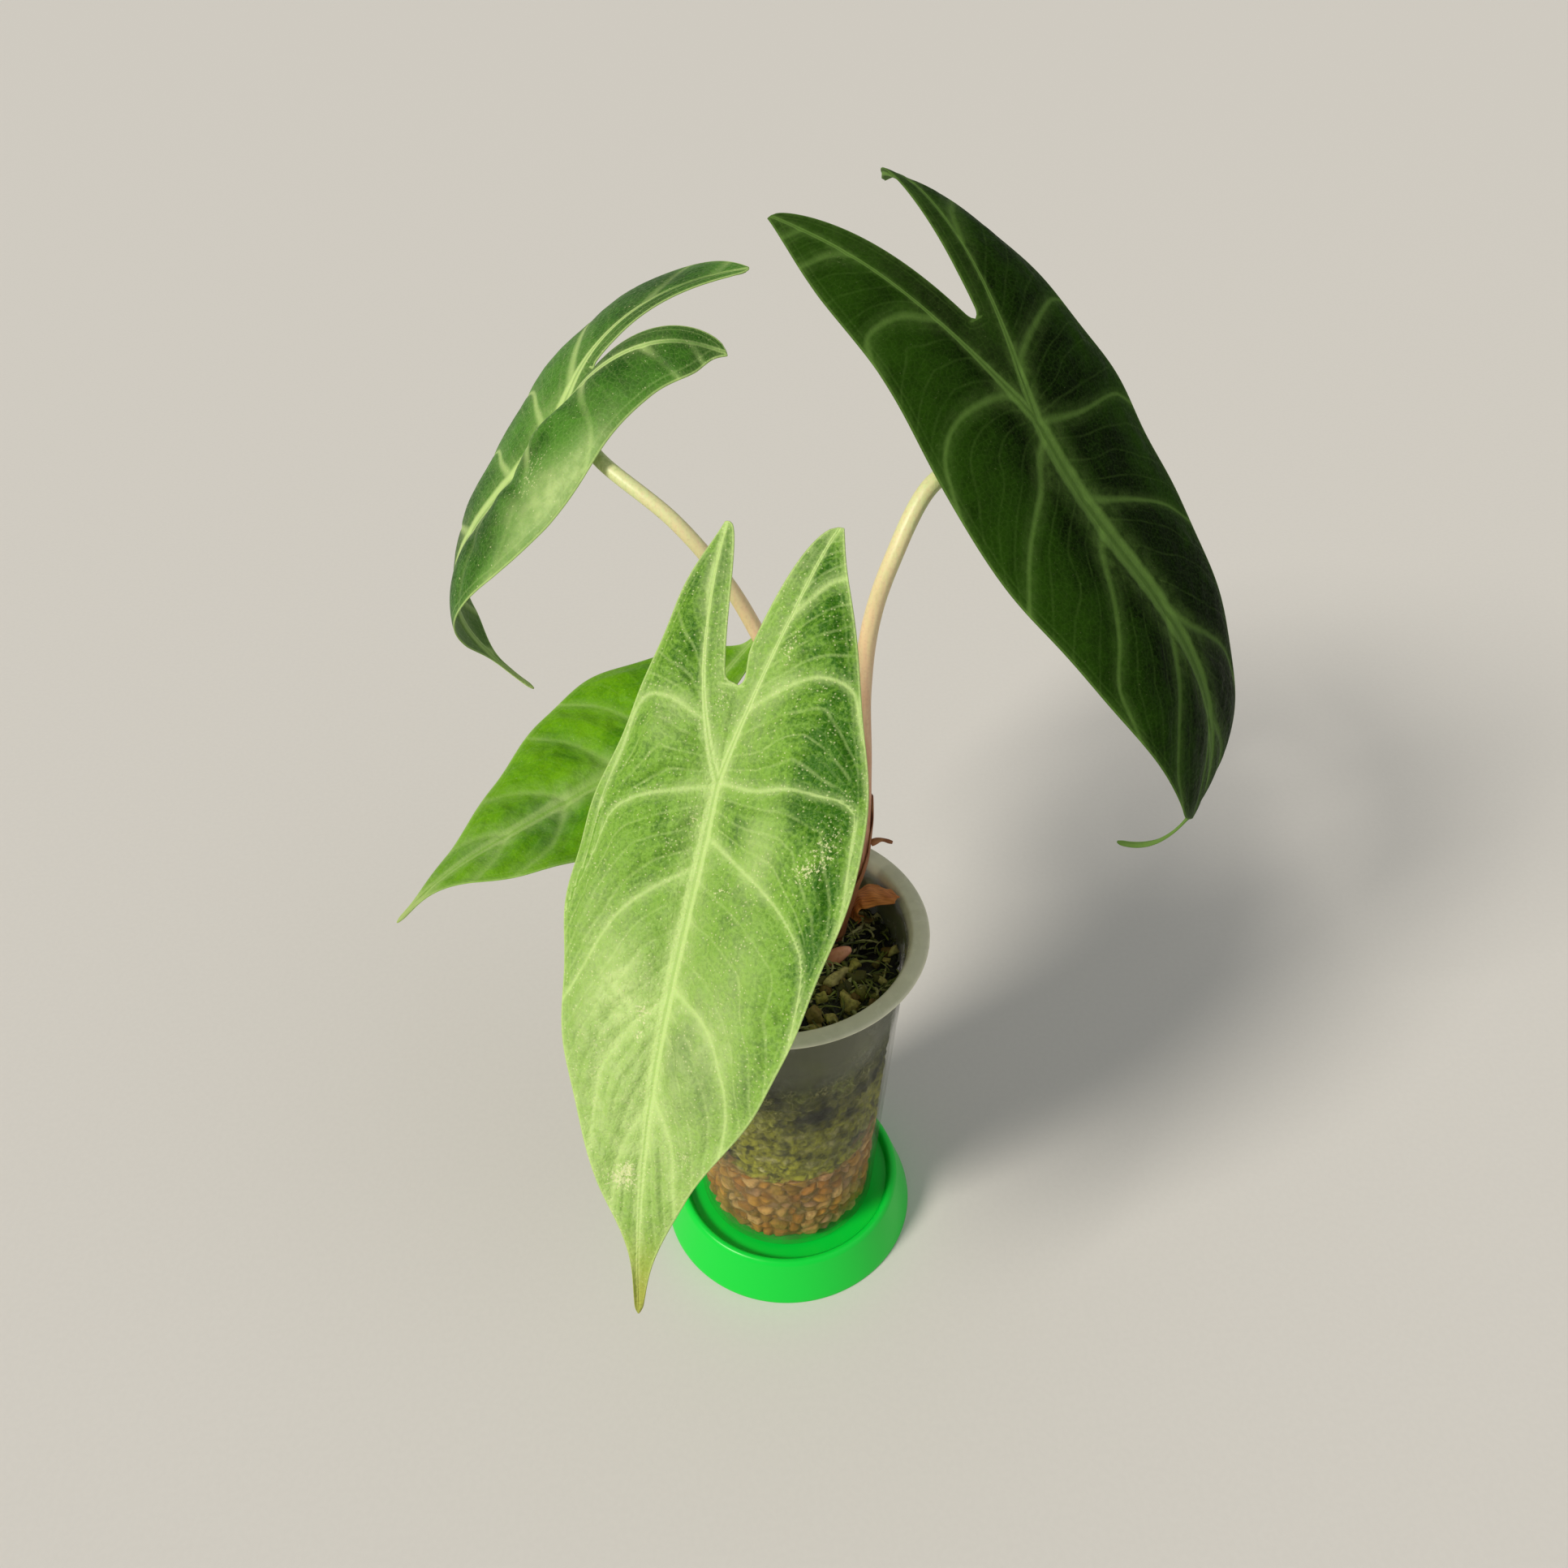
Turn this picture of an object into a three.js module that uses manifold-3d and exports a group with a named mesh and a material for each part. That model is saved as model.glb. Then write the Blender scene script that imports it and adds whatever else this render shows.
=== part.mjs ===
import * as THREE from "three";
import { mergeGeometries, mergeVertices } from "three/addons/utils/BufferGeometryUtils.js";
import Module from "manifold-3d";

// Young variegated alocasia in a clear nursery pot on a green plastic saucer.
// Lengths are millimetres and angles degrees. +Z is up. While it is built, the pot's axis is
// the Z axis and the table is z = 0; at the end the whole plant is moved sideways so that the
// origin is the middle of its footprint on the table.

// Clearance between pieces that touch in the real plant
const GAP = 0.3;
// Facets round the pot and the saucer
const ROUND = 40;

// Saucer, used upside down: it stands on its wide rim and carries the pot in its foot ring
const SAUCER_RIM_RADIUS = 38.4;
const SAUCER_HEIGHT = 15;
const SAUCER_SEAT_HEIGHT = 12;
const SAUCER_SEAT_RADIUS = 31.3;
const SAUCER_WALL = 1.6;

// Pot
const POT_BASE = SAUCER_SEAT_HEIGHT + GAP;
const POT_BASE_RADIUS = 26.6;
const POT_NECK_RADIUS = 34.4;
const POT_NECK_HEIGHT = 116.8;
const POT_RIM_RADIUS = 40;
const POT_TOP = 122.5;
const POT_WALL = 0.9;
const POT_FLOOR = 1;
const POT_FOOT_RADIUS = 22.4;
const DRAIN_HOLES = 5;
const DRAIN_RADIUS = 2.6;
const DRAIN_CIRCLE = 14;

// Clay granules at the bottom of the pot, and the mossy mix above them
const GRANULES_TOP = 46;
const PEBBLE_SIZE = 6.5;
const PEBBLE_RELIEF = 1.2;
const MOSS_EDGE_HEIGHT = 109;
const MOSS_MOUND = 3;
const MOSS_RELIEF = 1.1;
const SURFACE_GRANULES = 18;
const SURFACE_STRANDS = 7;

// Corm and roots in the moss
const CROWN = [9, 8];
const CORM_TOP = 103.2;
const CORM_DEPTH = 23;
const CORM_RADIUS = 9.5;
const ROOTS = 5;
const ROOT_RADIUS = 1.1;

// Blades
const BLADE_THICKNESS = 0.7;
const RIB_HEIGHT = 0.9;
const LATERAL_HEIGHT = 0.55;
const QUILT_HEIGHT = 0.9;
// Half width over which the droop across a blade is measured
const DROOP_WIDTH = 30;
// Side ribs: fractions of the blade's length past the joint, and of the lobe's free length
const SIDE_RIBS = [0, 0.18, 0.38, 0.6];
const LOBE_RIBS = [0.12, 0.55];
const RIB_SHOULDER = 1.3;
// Fractions of the blade's length at which a half width is given, and of the lobe's length
const WIDTH_STATIONS = [0, 0.25, 0.5, 0.75, 0.9, 1];
const LOBE_STATIONS = [1, 0.9, 0.67, 0.33];

// One entry a leaf. "joint" is where the stem meets the blade. "stations" are fractions of the
// blade's length from the joint to the tip; heading (compass turn from +X), pitch (above level)
// and roll start with the value at the lobes' ends, followed by one value a station.
// Left and right are as seen from the joint towards the tip with the upper face up. The rise
// and droop of each half are slopes down at the midrib and at its edge, for the lobes' ends,
// the joint and the tip. "lobeVein" is how far out the lobe's vein ends and how it bends.
// "tail" gives the fractions of the length over which the blade narrows to a slender tail, and
// the tail's half width.
const leaves = [
  {
    name: "front",
    joint: [-12, -23.5, 194],
    length: 123,
    sinus: 21.5,
    stations: [0, 0.35, 0.7, 1],
    heading: [-109, -112, -114, -106, -91],
    pitch: [-46, -48, -51, -59, -58],
    roll: [8, 8, 12, 5, 4],
    left: {
      widths: [36.5, 37, 29, 11.5, 3.5],
      lobe: 58.5,
      lobeWidths: [18, 23, 30],
      lobeVein: [15.5, 0.85],
      inner: 5.5,
      rise: [0, -15, -6],
      droop: [19, 5, -2],
    },
    right: {
      widths: [26.5, 31, 23.5, 10, 1.5],
      lobe: 57.5,
      lobeWidths: [14.5, 19.5, 22.5],
      lobeVein: [11.5, 2.6],
      inner: 4.5,
      rise: [5, -16, -5],
      droop: [20, 10, 2],
    },
    stem: [[7.5, 3, 103.6], [7, 2.5, 118], [4.5, 0, 140], [-1, -5, 162], [-7.5, -12, 180]],
    stemRadius: [2.6, 1.9],
    wave: [0.9, 27, 20],
    colour: 0x86b463,
  },
  {
    name: "upper_right",
    joint: [64, 45, 243],
    length: 145,
    sinus: 26.5,
    stations: [0, 0.3, 0.6, 0.8, 0.9, 1],
    heading: [-39, -45, -36, -31, -32, -37, -48],
    pitch: [-7, -48, -42, -75, -105, -130, -163],
    roll: [6, 6, 5, 4, 3, -1, -4],
    left: {
      widths: [37, 35.5, 24.5, 16, 7.5],
      lobe: 79.5,
      lobeWidths: [27.5, 29.5, 32],
      lobeVein: [34, 0.53],
      inner: 5.3,
      rise: [-18, 1, -8],
      droop: [45, 16, 17],
    },
    right: {
      widths: [31, 33, 30, 15.5, 6],
      lobe: 80.5,
      lobeWidths: [21, 28, 29.5],
      lobeVein: [16, 1.95],
      inner: 7,
      rise: [4, -6, -10],
      droop: [14, 18, 10],
    },
    stem: [
      [14.2, 8.7, 104.3],
      [16.5, 9.8, 114],
      [19.5, 11.5, 124],
      [22.5, 14, 136],
      [23, 19.5, 160],
      [23, 22.5, 183],
      [25, 24, 202],
      [29.5, 26, 217],
      [39, 34, 232.5],
      [50, 40, 236.5],
    ],
    stemRadius: [3, 1.7],
    wave: [1, 31, 70],
    tail: [0.7, 0.83, 1.25],
    colour: 0x2c4a1a,
  },
  {
    name: "upper_left",
    joint: [-48.5, 66, 238.5],
    length: 91.5,
    sinus: 13.5,
    stations: [0, 0.35, 0.6, 0.8, 1],
    heading: [-178, -143, -163, -172, -183, -195],
    pitch: [-1, -40, -46, -81, -123, -145],
    roll: [0, 15, 6, 4, -1, -3],
    left: {
      widths: [26, 27, 20.5, 6, 1.5],
      lobe: 46.5,
      lobeWidths: [27.5, 29.5, 27.5],
      lobeVein: [26.5, 1.25],
      inner: 6.8,
      rise: [-21, -30, 13],
      droop: [59, 57, 28],
    },
    right: {
      widths: [30.5, 26, 17.5, 9.5, 2.5],
      lobe: 58,
      lobeWidths: [20, 32, 35.5],
      lobeVein: [11, 2.5],
      inner: 4.5,
      rise: [-9, -15, 10],
      droop: [9, 22, 16],
    },
    stem: [
      [8.5, 13.5, 103.9],
      [10.5, 15.2, 122],
      [11, 21.5, 150],
      [8, 26.5, 170],
      [-2.5, 32, 195],
      [-10, 33.5, 210],
      [-21, 37, 224],
      [-38, 49, 234],
    ],
    stemRadius: [2.4, 1.6],
    wave: [1.1, 24, 140],
    tail: [0.74, 0.9, 1.2],
    colour: 0x548f40,
  },
  {
    name: "lower_left",
    joint: [-25.5, 26, 166.5],
    length: 85.5,
    sinus: 14,
    stations: [0, 0.35, 0.7, 1],
    heading: [-147, -144, -141, -133, -114],
    pitch: [-14, -7, -2, 2, -1],
    roll: [-8, -6, -2, 3, 14],
    left: {
      widths: [27.5, 25.5, 20, 12, 2],
      lobe: 32,
      lobeWidths: [11.5, 17, 23],
      lobeVein: [8, 1.2],
      inner: 4,
      rise: [-10, -9, -10],
      droop: [11, 14, 9],
    },
    right: {
      widths: [31.5, 28, 16.5, 5, 1],
      lobe: 37,
      lobeWidths: [14, 21.5, 27],
      lobeVein: [13, 1.2],
      inner: 5,
      rise: [-10, -10, -1],
      droop: [14, 5, 8],
    },
    stem: [[3.2, 8.5, 103.7], [2.8, 9.5, 118], [-4, 16, 143], [-13, 22, 157]],
    stemRadius: [2.2, 1.5],
    wave: [0.8, 22, 0],
    colour: 0x77ad36,
  },
];

const wasm = await Module();
wasm.setup();

const radians = THREE.MathUtils.degToRad;

// Seeded random numbers from 0 to 1
function randomFrom(seed) {
  let state = seed;
  return () => {
    state = (state * 1664525 + 1013904223) % 4294967296;
    return state / 4294967296;
  };
}

// Smooth curve through (stations, values), with each slope the mean of its neighbours'
function smooth(stations, values, x) {
  const last = stations.length - 1;
  let k = 0;
  while (k < last - 1 && x > stations[k + 1]) k += 1;
  const slope = (i) => (values[i + 1] - values[i]) / (stations[i + 1] - stations[i]);
  const tangent = (i) => {
    if (i === 0) return slope(0);
    if (i === last) return slope(last - 1);
    const before = stations[i] - stations[i - 1];
    const after = stations[i + 1] - stations[i];
    return (slope(i - 1) * after + slope(i) * before) / (before + after);
  };
  const step = stations[k + 1] - stations[k];
  const t = THREE.MathUtils.clamp((x - stations[k]) / step, 0, 1);
  const t2 = t * t;
  const t3 = t2 * t;
  return (2 * t3 - 3 * t2 + 1) * values[k] + (t3 - 2 * t2 + t) * step * tangent(k)
    + (3 * t2 - 2 * t3) * values[k + 1] + (t3 - t2) * step * tangent(k + 1);
}

function signedVolume(geometry) {
  const p = geometry.attributes.position;
  const index = geometry.index;
  const a = new THREE.Vector3();
  const b = new THREE.Vector3();
  const c = new THREE.Vector3();
  let sum = 0;
  for (let i = 0; i < index.count; i += 3) {
    a.fromBufferAttribute(p, index.getX(i));
    b.fromBufferAttribute(p, index.getX(i + 1));
    c.fromBufferAttribute(p, index.getX(i + 2));
    sum += a.dot(b.cross(c));
  }
  return sum / 6;
}

// Closed surface with shared corners and its faces pointing out
function closed(geometry) {
  const bare = geometry.clone();
  bare.deleteAttribute("normal");
  bare.deleteAttribute("uv");
  const merged = mergeVertices(bare, 1e-4);
  const corners = merged.index.array;
  const kept = [];
  for (let i = 0; i < corners.length; i += 3) {
    const [a, b, c] = [corners[i], corners[i + 1], corners[i + 2]];
    if (a !== b && b !== c && c !== a) kept.push(a, b, c);
  }
  merged.setIndex(kept);
  if (signedVolume(merged) < 0) {
    for (let i = 0; i < kept.length; i += 3) [kept[i], kept[i + 1]] = [kept[i + 1], kept[i]];
    merged.setIndex(kept);
  }
  return merged;
}

function solid(geometry) {
  const shape = closed(geometry);
  return new wasm.Manifold(new wasm.Mesh({
    numProp: 3,
    vertProperties: new Float32Array(shape.attributes.position.array),
    triVerts: new Uint32Array(shape.index.array),
  }));
}

function geometryOf(body) {
  const mesh = body.getMesh();
  const geometry = new THREE.BufferGeometry();
  geometry.setAttribute("position", new THREE.BufferAttribute(mesh.vertProperties, 3));
  geometry.setIndex(new THREE.BufferAttribute(mesh.triVerts, 1));
  return geometry;
}

// The body's biggest piece, without scraps that a cut leaves
function biggest(body) {
  const pieces = body.decompose();
  return pieces.reduce((best, piece) => (piece.volume() > best.volume() ? piece : best));
}

// Solid of revolution about Z from [radius, height] points
function turned(points) {
  const profile = points.map(([r, z]) => new THREE.Vector2(r, z));
  return new THREE.LatheGeometry(profile, ROUND).rotateX(Math.PI / 2);
}

// Tube along a curve. Its radius may change on the way, and its ends may reach past the curve's
function tube(curve, steps, sides, radius, reach = 0) {
  const ring = new THREE.Shape();
  for (let i = 0; i < sides; i += 1) {
    const turn = (i / sides) * 2 * Math.PI;
    if (i === 0) ring.moveTo(1, 0);
    else ring.lineTo(Math.cos(turn), Math.sin(turn));
  }
  ring.closePath();
  const geometry = new THREE.ExtrudeGeometry(ring, { steps, extrudePath: curve, curveSegments: 1 });
  const centres = curve.getSpacedPoints(steps);
  const position = geometry.attributes.position;
  const point = new THREE.Vector3();
  for (let i = 0; i < position.count; i += 1) {
    point.fromBufferAttribute(position, i);
    let nearest = 0;
    centres.forEach((centre, k) => {
      if (centre.distanceTo(point) < centres[nearest].distanceTo(point)) nearest = k;
    });
    const centre = centres[nearest];
    point.sub(centre).multiplyScalar(radius(nearest / steps)).add(centre);
    if (nearest === 0) point.addScaledVector(curve.getTangentAt(0), -reach);
    if (nearest === steps) point.addScaledVector(curve.getTangentAt(1), reach);
    position.setXYZ(i, point.x, point.y, point.z);
  }
  return geometry;
}

function curveThrough(points) {
  return new THREE.CatmullRomCurve3(points.map((p) => new THREE.Vector3(...p)), false, "centripetal");
}

// Closed sheet from a grid of upper and lower points that share their triangles
function sheet(top, bottom, triangles) {
  const corners = [];
  const add = (p) => corners.push(p.x, p.y, p.z);
  const edges = new Map();
  triangles.forEach(([a, b, c]) => {
    [top[a], top[b], top[c], bottom[a], bottom[c], bottom[b]].forEach(add);
    [[a, b], [b, c], [c, a]].forEach(([from, to]) => {
      if (edges.has(`${to},${from}`)) edges.delete(`${to},${from}`);
      else edges.set(`${from},${to}`, [from, to]);
    });
  });
  edges.forEach(([from, to]) => {
    [top[to], top[from], bottom[from], top[to], bottom[from], bottom[to]].forEach(add);
  });
  const geometry = new THREE.BufferGeometry();
  geometry.setAttribute("position", new THREE.Float32BufferAttribute(corners, 3));
  return geometry;
}

// Posture of a leaf: the spine's point and its directions along, across and up at distance a
function spineOf(leaf) {
  const back = Math.max(leaf.left.lobe, leaf.right.lobe);
  const stations = [-back, ...leaf.stations.map((s) => s * leaf.length)];
  const frameAt = (a) => {
    const heading = radians(smooth(stations, leaf.heading, a));
    const pitch = radians(smooth(stations, leaf.pitch, a));
    const roll = radians(smooth(stations, leaf.roll, a));
    const along = new THREE.Vector3(
      Math.cos(pitch) * Math.cos(heading),
      Math.cos(pitch) * Math.sin(heading),
      Math.sin(pitch),
    );
    const level = new THREE.Vector3(-Math.sin(heading), Math.cos(heading), 0);
    const across = level.applyAxisAngle(along, roll);
    const up = along.clone().cross(across);
    return { along, across, up };
  };
  const pieces = 180;
  const step = (leaf.length + back) / pieces;
  const path = [new THREE.Vector3()];
  for (let i = 0; i < pieces; i += 1) {
    const here = frameAt(-back + i * step).along;
    const next = frameAt(-back + (i + 1) * step).along;
    path.push(path[i].clone().addScaledVector(here.add(next), step / 2));
  }
  const raw = (a) => {
    const at = THREE.MathUtils.clamp((a + back) / step, 0, pieces - 1e-9);
    const k = Math.floor(at);
    return path[k].clone().lerp(path[k + 1], at - k);
  };
  const shift = new THREE.Vector3(...leaf.joint).sub(raw(0));
  return (a) => ({ point: raw(a).add(shift), ...frameAt(a) });
}

// Half outline, the lobe's vein and the lobe's inner edge, as distances from the midrib line
function outlineOf(leaf, half) {
  const [veinEnd, veinBend] = half.lobeVein;
  const stations = [
    ...LOBE_STATIONS.map((s) => -s * half.lobe),
    ...WIDTH_STATIONS.map((s) => s * leaf.length),
  ];
  const widths = [veinEnd + 0.8, ...half.lobeWidths, ...half.widths, 0.6];
  const [from, to, slender] = leaf.tail ?? [2, 3, 0];
  const outer = (a) => {
    const f = a / leaf.length;
    const slim = slender * (1 - 0.4 * Math.max((f - to) / (1 - to), 0));
    return THREE.MathUtils.lerp(smooth(stations, widths, a), slim,
      THREE.MathUtils.smoothstep(f, from, to));
  };
  const vein = (a) => {
    const q = THREE.MathUtils.clamp(-a / half.lobe, 0, 1);
    return veinEnd * (1 - (1 - q) ** veinBend);
  };
  const inner = (a) => {
    const floor = leaf.sinus / half.lobe;
    const q = THREE.MathUtils.clamp(-a / half.lobe, 0, 1);
    if (q <= floor + 1e-9) return 0;
    const t = (q - floor) / (1 - floor);
    const blend = THREE.MathUtils.smoothstep(t, 0, 0.25);
    const width = THREE.MathUtils.lerp(vein(-leaf.sinus), half.inner, blend);
    return Math.max(vein(a) - width * Math.sqrt(Math.max(1 - t ** 3, 0)) - 0.4, 0);
  };
  return { outer, vein, inner };
}

// How far a side rib runs towards the tip by the time it reaches the edge
function sweep(leaf, a) {
  return smooth([-40, -12, 0, 0.35 * leaf.length, 0.7 * leaf.length, leaf.length],
    [0, 0, 4, 16, 12, 0], a);
}

// Blade as a closed sheet: rows follow the side ribs and columns run from midrib to edge.
// The sheet bulges up between the ribs, which stand out below, and waves along its edge
function bladeGeometry(leaf, clearance) {
  const frameAt = spineOf(leaf);
  const top = [];
  const bottom = [];
  const triangles = [];
  const known = new Map();
  const corner = (a, b, sign, half, rib, quilt) => {
    const key = `${a.toFixed(3)},${(b * sign).toFixed(3)}`;
    if (known.has(key)) return known.get(key);
    const { point, across, up } = frameAt(a);
    const slopeStations = [-Math.max(leaf.left.lobe, leaf.right.lobe), 0, leaf.length];
    const rise = radians(smooth(slopeStations, half.rise, a));
    const droop = radians(smooth(slopeStations, half.droop, a));
    let bend = (droop - rise) / DROOP_WIDTH;
    if (Math.abs(bend) < 1e-5) bend = 1e-5;
    const slope = rise + bend * b;
    const out = (Math.sin(slope) - Math.sin(rise)) / bend;
    const lift = (Math.cos(slope) - Math.cos(rise)) / bend;
    const tilt = slope * THREE.MathUtils.smoothstep(b, 0, 6);
    const normal = across.clone().multiplyScalar(sign * Math.sin(tilt))
      .addScaledVector(up, Math.cos(tilt));
    const edge = Math.min(b / outlineOf(leaf, half).outer(a), 1);
    const [height, wavelength, phase] = leaf.wave;
    const turns = (2 * Math.PI * a) / wavelength + radians(phase) * sign;
    const wave = height * edge ** 3 * Math.sin(turns);
    const middle = point.addScaledVector(across, sign * out).addScaledVector(up, lift)
      .addScaledVector(normal, wave + quilt);
    const reach = BLADE_THICKNESS / 2 + clearance;
    top.push(middle.clone().addScaledVector(normal, reach - rib * 0.25));
    bottom.push(middle.clone().addScaledVector(normal, -reach - rib));
    known.set(key, top.length - 1);
    return top.length - 1;
  };
  const patch = (grid, sign) => {
    for (let i = 0; i + 1 < grid.length; i += 1) {
      for (let j = 0; j + 1 < grid[i].length; j += 1) {
        const [p, q, r, s] = [grid[i][j], grid[i + 1][j], grid[i + 1][j + 1], grid[i][j + 1]];
        const pair = sign > 0 ? [[p, q, r], [p, r, s]] : [[p, r, q], [p, s, r]];
        pair.filter(([x, y, z]) => x !== y && y !== z && z !== x).forEach((t) => triangles.push(t));
      }
    }
  };
  [[leaf.left, 1], [leaf.right, -1]].forEach(([half, sign]) => {
    const { outer, vein, inner } = outlineOf(leaf, half);
    // Rows of one half: distance along the spine, side rib height and quilting there
    const rows = [];
    const free = half.lobe - leaf.sinus;
    const lobeRibs = LOBE_RIBS.map((f) => -leaf.sinus - f * free);
    const ribAt = [...lobeRibs.reverse(), ...SIDE_RIBS.map((f) => f * leaf.length)];
    ribAt.forEach((a, k) => {
      const fade = a > 0 ? 1 - 0.5 * (a / leaf.length) : 1;
      rows.push([a - RIB_SHOULDER, 0, 0.25], [a, fade, 0], [a + RIB_SHOULDER, 0, 0.25]);
      const joined = k + 1 < ribAt.length && (a >= 0 || ribAt[k + 1] < 0);
      if (joined) rows.push([(a + ribAt[k + 1]) / 2, 0, fade]);
    });
    [0.72, 0.82, 0.9, 0.96, 1].forEach((f) => rows.push([f * leaf.length, 0, 0.2]));
    [0.35, 0.7, 1].forEach((f) => rows.push([-leaf.sinus * f, 0, 0.7]));
    [0.8, 0.92, 1].forEach((f) => rows.push([-leaf.sinus - free * f, 0, 0.1]));
    rows.sort((p, q) => p[0] - q[0]);
    const spaced = rows.filter(([a, rib], k) => rib > 0 || k === 0 || k === rows.length - 1
      || a === -leaf.sinus || (a - rows[k - 1][0] > 0.9 && rows[k + 1][0] - a > 0.9));
    const columns = [0, 0.07, 0.35, 0.66, 0.92, 1];
    patch(spaced.map(([a0, rib, quilt]) => columns.map((beta) => {
      const a = Math.min(a0 + sweep(leaf, a0) * beta ** 1.5, leaf.length);
      const b = vein(a) + beta * (outer(a) - vein(a));
      const main = beta === 0 ? RIB_HEIGHT * (1 - 0.7 * Math.max(a, 0) / leaf.length) : 0;
      const side = beta > 0 && beta < 0.95 ? rib * LATERAL_HEIGHT * (1 - 0.6 * beta) : 0;
      return corner(a, b, sign, half, main + side, QUILT_HEIGHT * quilt * 4 * beta * (1 - beta));
    })), sign);
    const lobeRows = spaced.filter(([a]) => a <= 0);
    patch(lobeRows.map(([a]) => [1, 0.5, 0].map((share) => {
      const b = inner(a) + share * (vein(a) - inner(a));
      const main = RIB_HEIGHT * Math.max(1 - (vein(a) - b) / 2.4, 0);
      return corner(a, b, sign, half, main, 0);
    })), -sign);
  });
  return sheet(top, bottom, triangles);
}

// Stem from its base on the corm to the underside of its blade, which it meets at a slant
function stemCurve(leaf) {
  const { point, up } = spineOf(leaf)(0);
  const last = new THREE.Vector3(...leaf.stem[leaf.stem.length - 1]);
  const slant = point.clone().sub(last).normalize().addScaledVector(up, 0.8).normalize();
  const under = point.clone().addScaledVector(slant, -6);
  const into = point.clone().addScaledVector(slant, 4);
  return curveThrough([...leaf.stem, under.toArray(), into.toArray()]);
}

function stemGeometry(leaf, clearance) {
  const curve = stemCurve(leaf);
  const steps = Math.round(curve.getLength() / 9);
  const [base, end] = leaf.stemRadius;
  const radius = (t) => THREE.MathUtils.lerp(base, end, Math.min(t * 1.6, 1)) + clearance;
  return tube(curve, steps, 8, radius, clearance);
}

// Inner radius of the pot's wall at a height
function potInside(z) {
  const t = (z - POT_BASE) / (POT_NECK_HEIGHT - POT_BASE);
  return THREE.MathUtils.lerp(POT_BASE_RADIUS, POT_NECK_RADIUS, t) - POT_WALL;
}

// Bumps of round pebbles over two directions, from 0 between pebbles to 1 on them
function pebbles(u, v, seed) {
  const row = Math.round(v);
  let best = 0;
  for (let j = row - 1; j <= row + 1; j += 1) {
    const offset = j % 2 === 0 ? 0 : 0.5;
    const column = Math.round(u - offset);
    for (let i = column - 1; i <= column + 1; i += 1) {
      const jitter = Math.sin(i * 12.9 + j * 78.2 + seed) * 43758.5;
      const x = i + offset + (jitter - Math.floor(jitter) - 0.5) * 0.5;
      const away = (u - x) ** 2 + (v - j) ** 2;
      best = Math.max(best, Math.sqrt(Math.max(1 - away / 0.36, 0)));
    }
  }
  return best;
}

// Filling of the pot between two heights: side with relief, flat floor and a top surface
function filling(low, high, levels, rings, topHeight, relief, seed) {
  const points = [];
  const tris = [];
  const ring = (radiusAt, heightAt) => {
    const start = points.length;
    for (let i = 0; i < ROUND; i += 1) {
      const turn = (i / ROUND) * 2 * Math.PI;
      const r = radiusAt(turn);
      const [x, y] = [r * Math.cos(turn), r * Math.sin(turn)];
      points.push([x, y, heightAt(x, y)]);
    }
    return start;
  };
  const band = (p, q) => {
    for (let i = 0; i < ROUND; i += 1) {
      const j = (i + 1) % ROUND;
      tris.push([p + i, p + j, q + j], [p + i, q + j, q + i]);
    }
  };
  const fan = (p, centre, flip) => {
    points.push(centre);
    for (let i = 0; i < ROUND; i += 1) {
      const j = (i + 1) % ROUND;
      tris.push(flip ? [p + j, p + i, points.length - 1] : [p + i, p + j, points.length - 1]);
    }
  };
  let last = ring(() => potInside(low) - GAP - 1, () => low);
  fan(last, [0, 0, low], true);
  for (let k = 0; k <= levels; k += 1) {
    const z = low + ((high - low) * (k + 0.25)) / (levels + 0.25);
    const next = ring((turn) => {
      const around = (turn * 30) / PEBBLE_SIZE;
      const bump = pebbles(around, z / PEBBLE_SIZE, seed);
      return potInside(z) - GAP - 0.15 - relief * (1 - bump);
    }, () => z);
    band(last, next);
    last = next;
  }
  const edge = potInside(high) - GAP - 1.5;
  for (let k = rings; k >= 1; k -= 1) {
    const next = ring(() => (edge * k) / rings, topHeight);
    band(last, next);
    last = next;
  }
  fan(last, [0, 0, topHeight(0, 0)], false);
  const geometry = new THREE.BufferGeometry();
  geometry.setAttribute("position", new THREE.Float32BufferAttribute(points.flat(), 3));
  geometry.setIndex(tris.flat());
  return geometry;
}

// Height of the moss surface, a low mound with lumps
function mossHeight(x, y) {
  const r = Math.hypot(x, y) / potInside(MOSS_EDGE_HEIGHT);
  const lumps = pebbles(x / 5.5, y / 5.5, 4) + 0.6 * Math.sin(x * 0.9 + 1.3) * Math.cos(y * 0.8);
  return MOSS_EDGE_HEIGHT + MOSS_MOUND * (1 - r * r) + MOSS_RELIEF * lumps;
}

// Saucer
const saucerGeometry = turned([
  [0, SAUCER_SEAT_HEIGHT - SAUCER_WALL],
  [SAUCER_SEAT_RADIUS + 0.9, SAUCER_SEAT_HEIGHT - SAUCER_WALL],
  [SAUCER_SEAT_RADIUS + 1.5, SAUCER_HEIGHT - 2.4],
  [SAUCER_RIM_RADIUS - SAUCER_WALL, 0],
  [SAUCER_RIM_RADIUS, 0],
  [SAUCER_RIM_RADIUS - 0.3, 1.6],
  [SAUCER_SEAT_RADIUS + 3, SAUCER_HEIGHT - 1.2],
  [SAUCER_SEAT_RADIUS + 2.2, SAUCER_HEIGHT - 0.2],
  [SAUCER_SEAT_RADIUS + 1.1, SAUCER_HEIGHT],
  [SAUCER_SEAT_RADIUS + 0.3, SAUCER_HEIGHT - 0.8],
  [SAUCER_SEAT_RADIUS, SAUCER_SEAT_HEIGHT],
  [0, SAUCER_SEAT_HEIGHT],
]);

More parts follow.
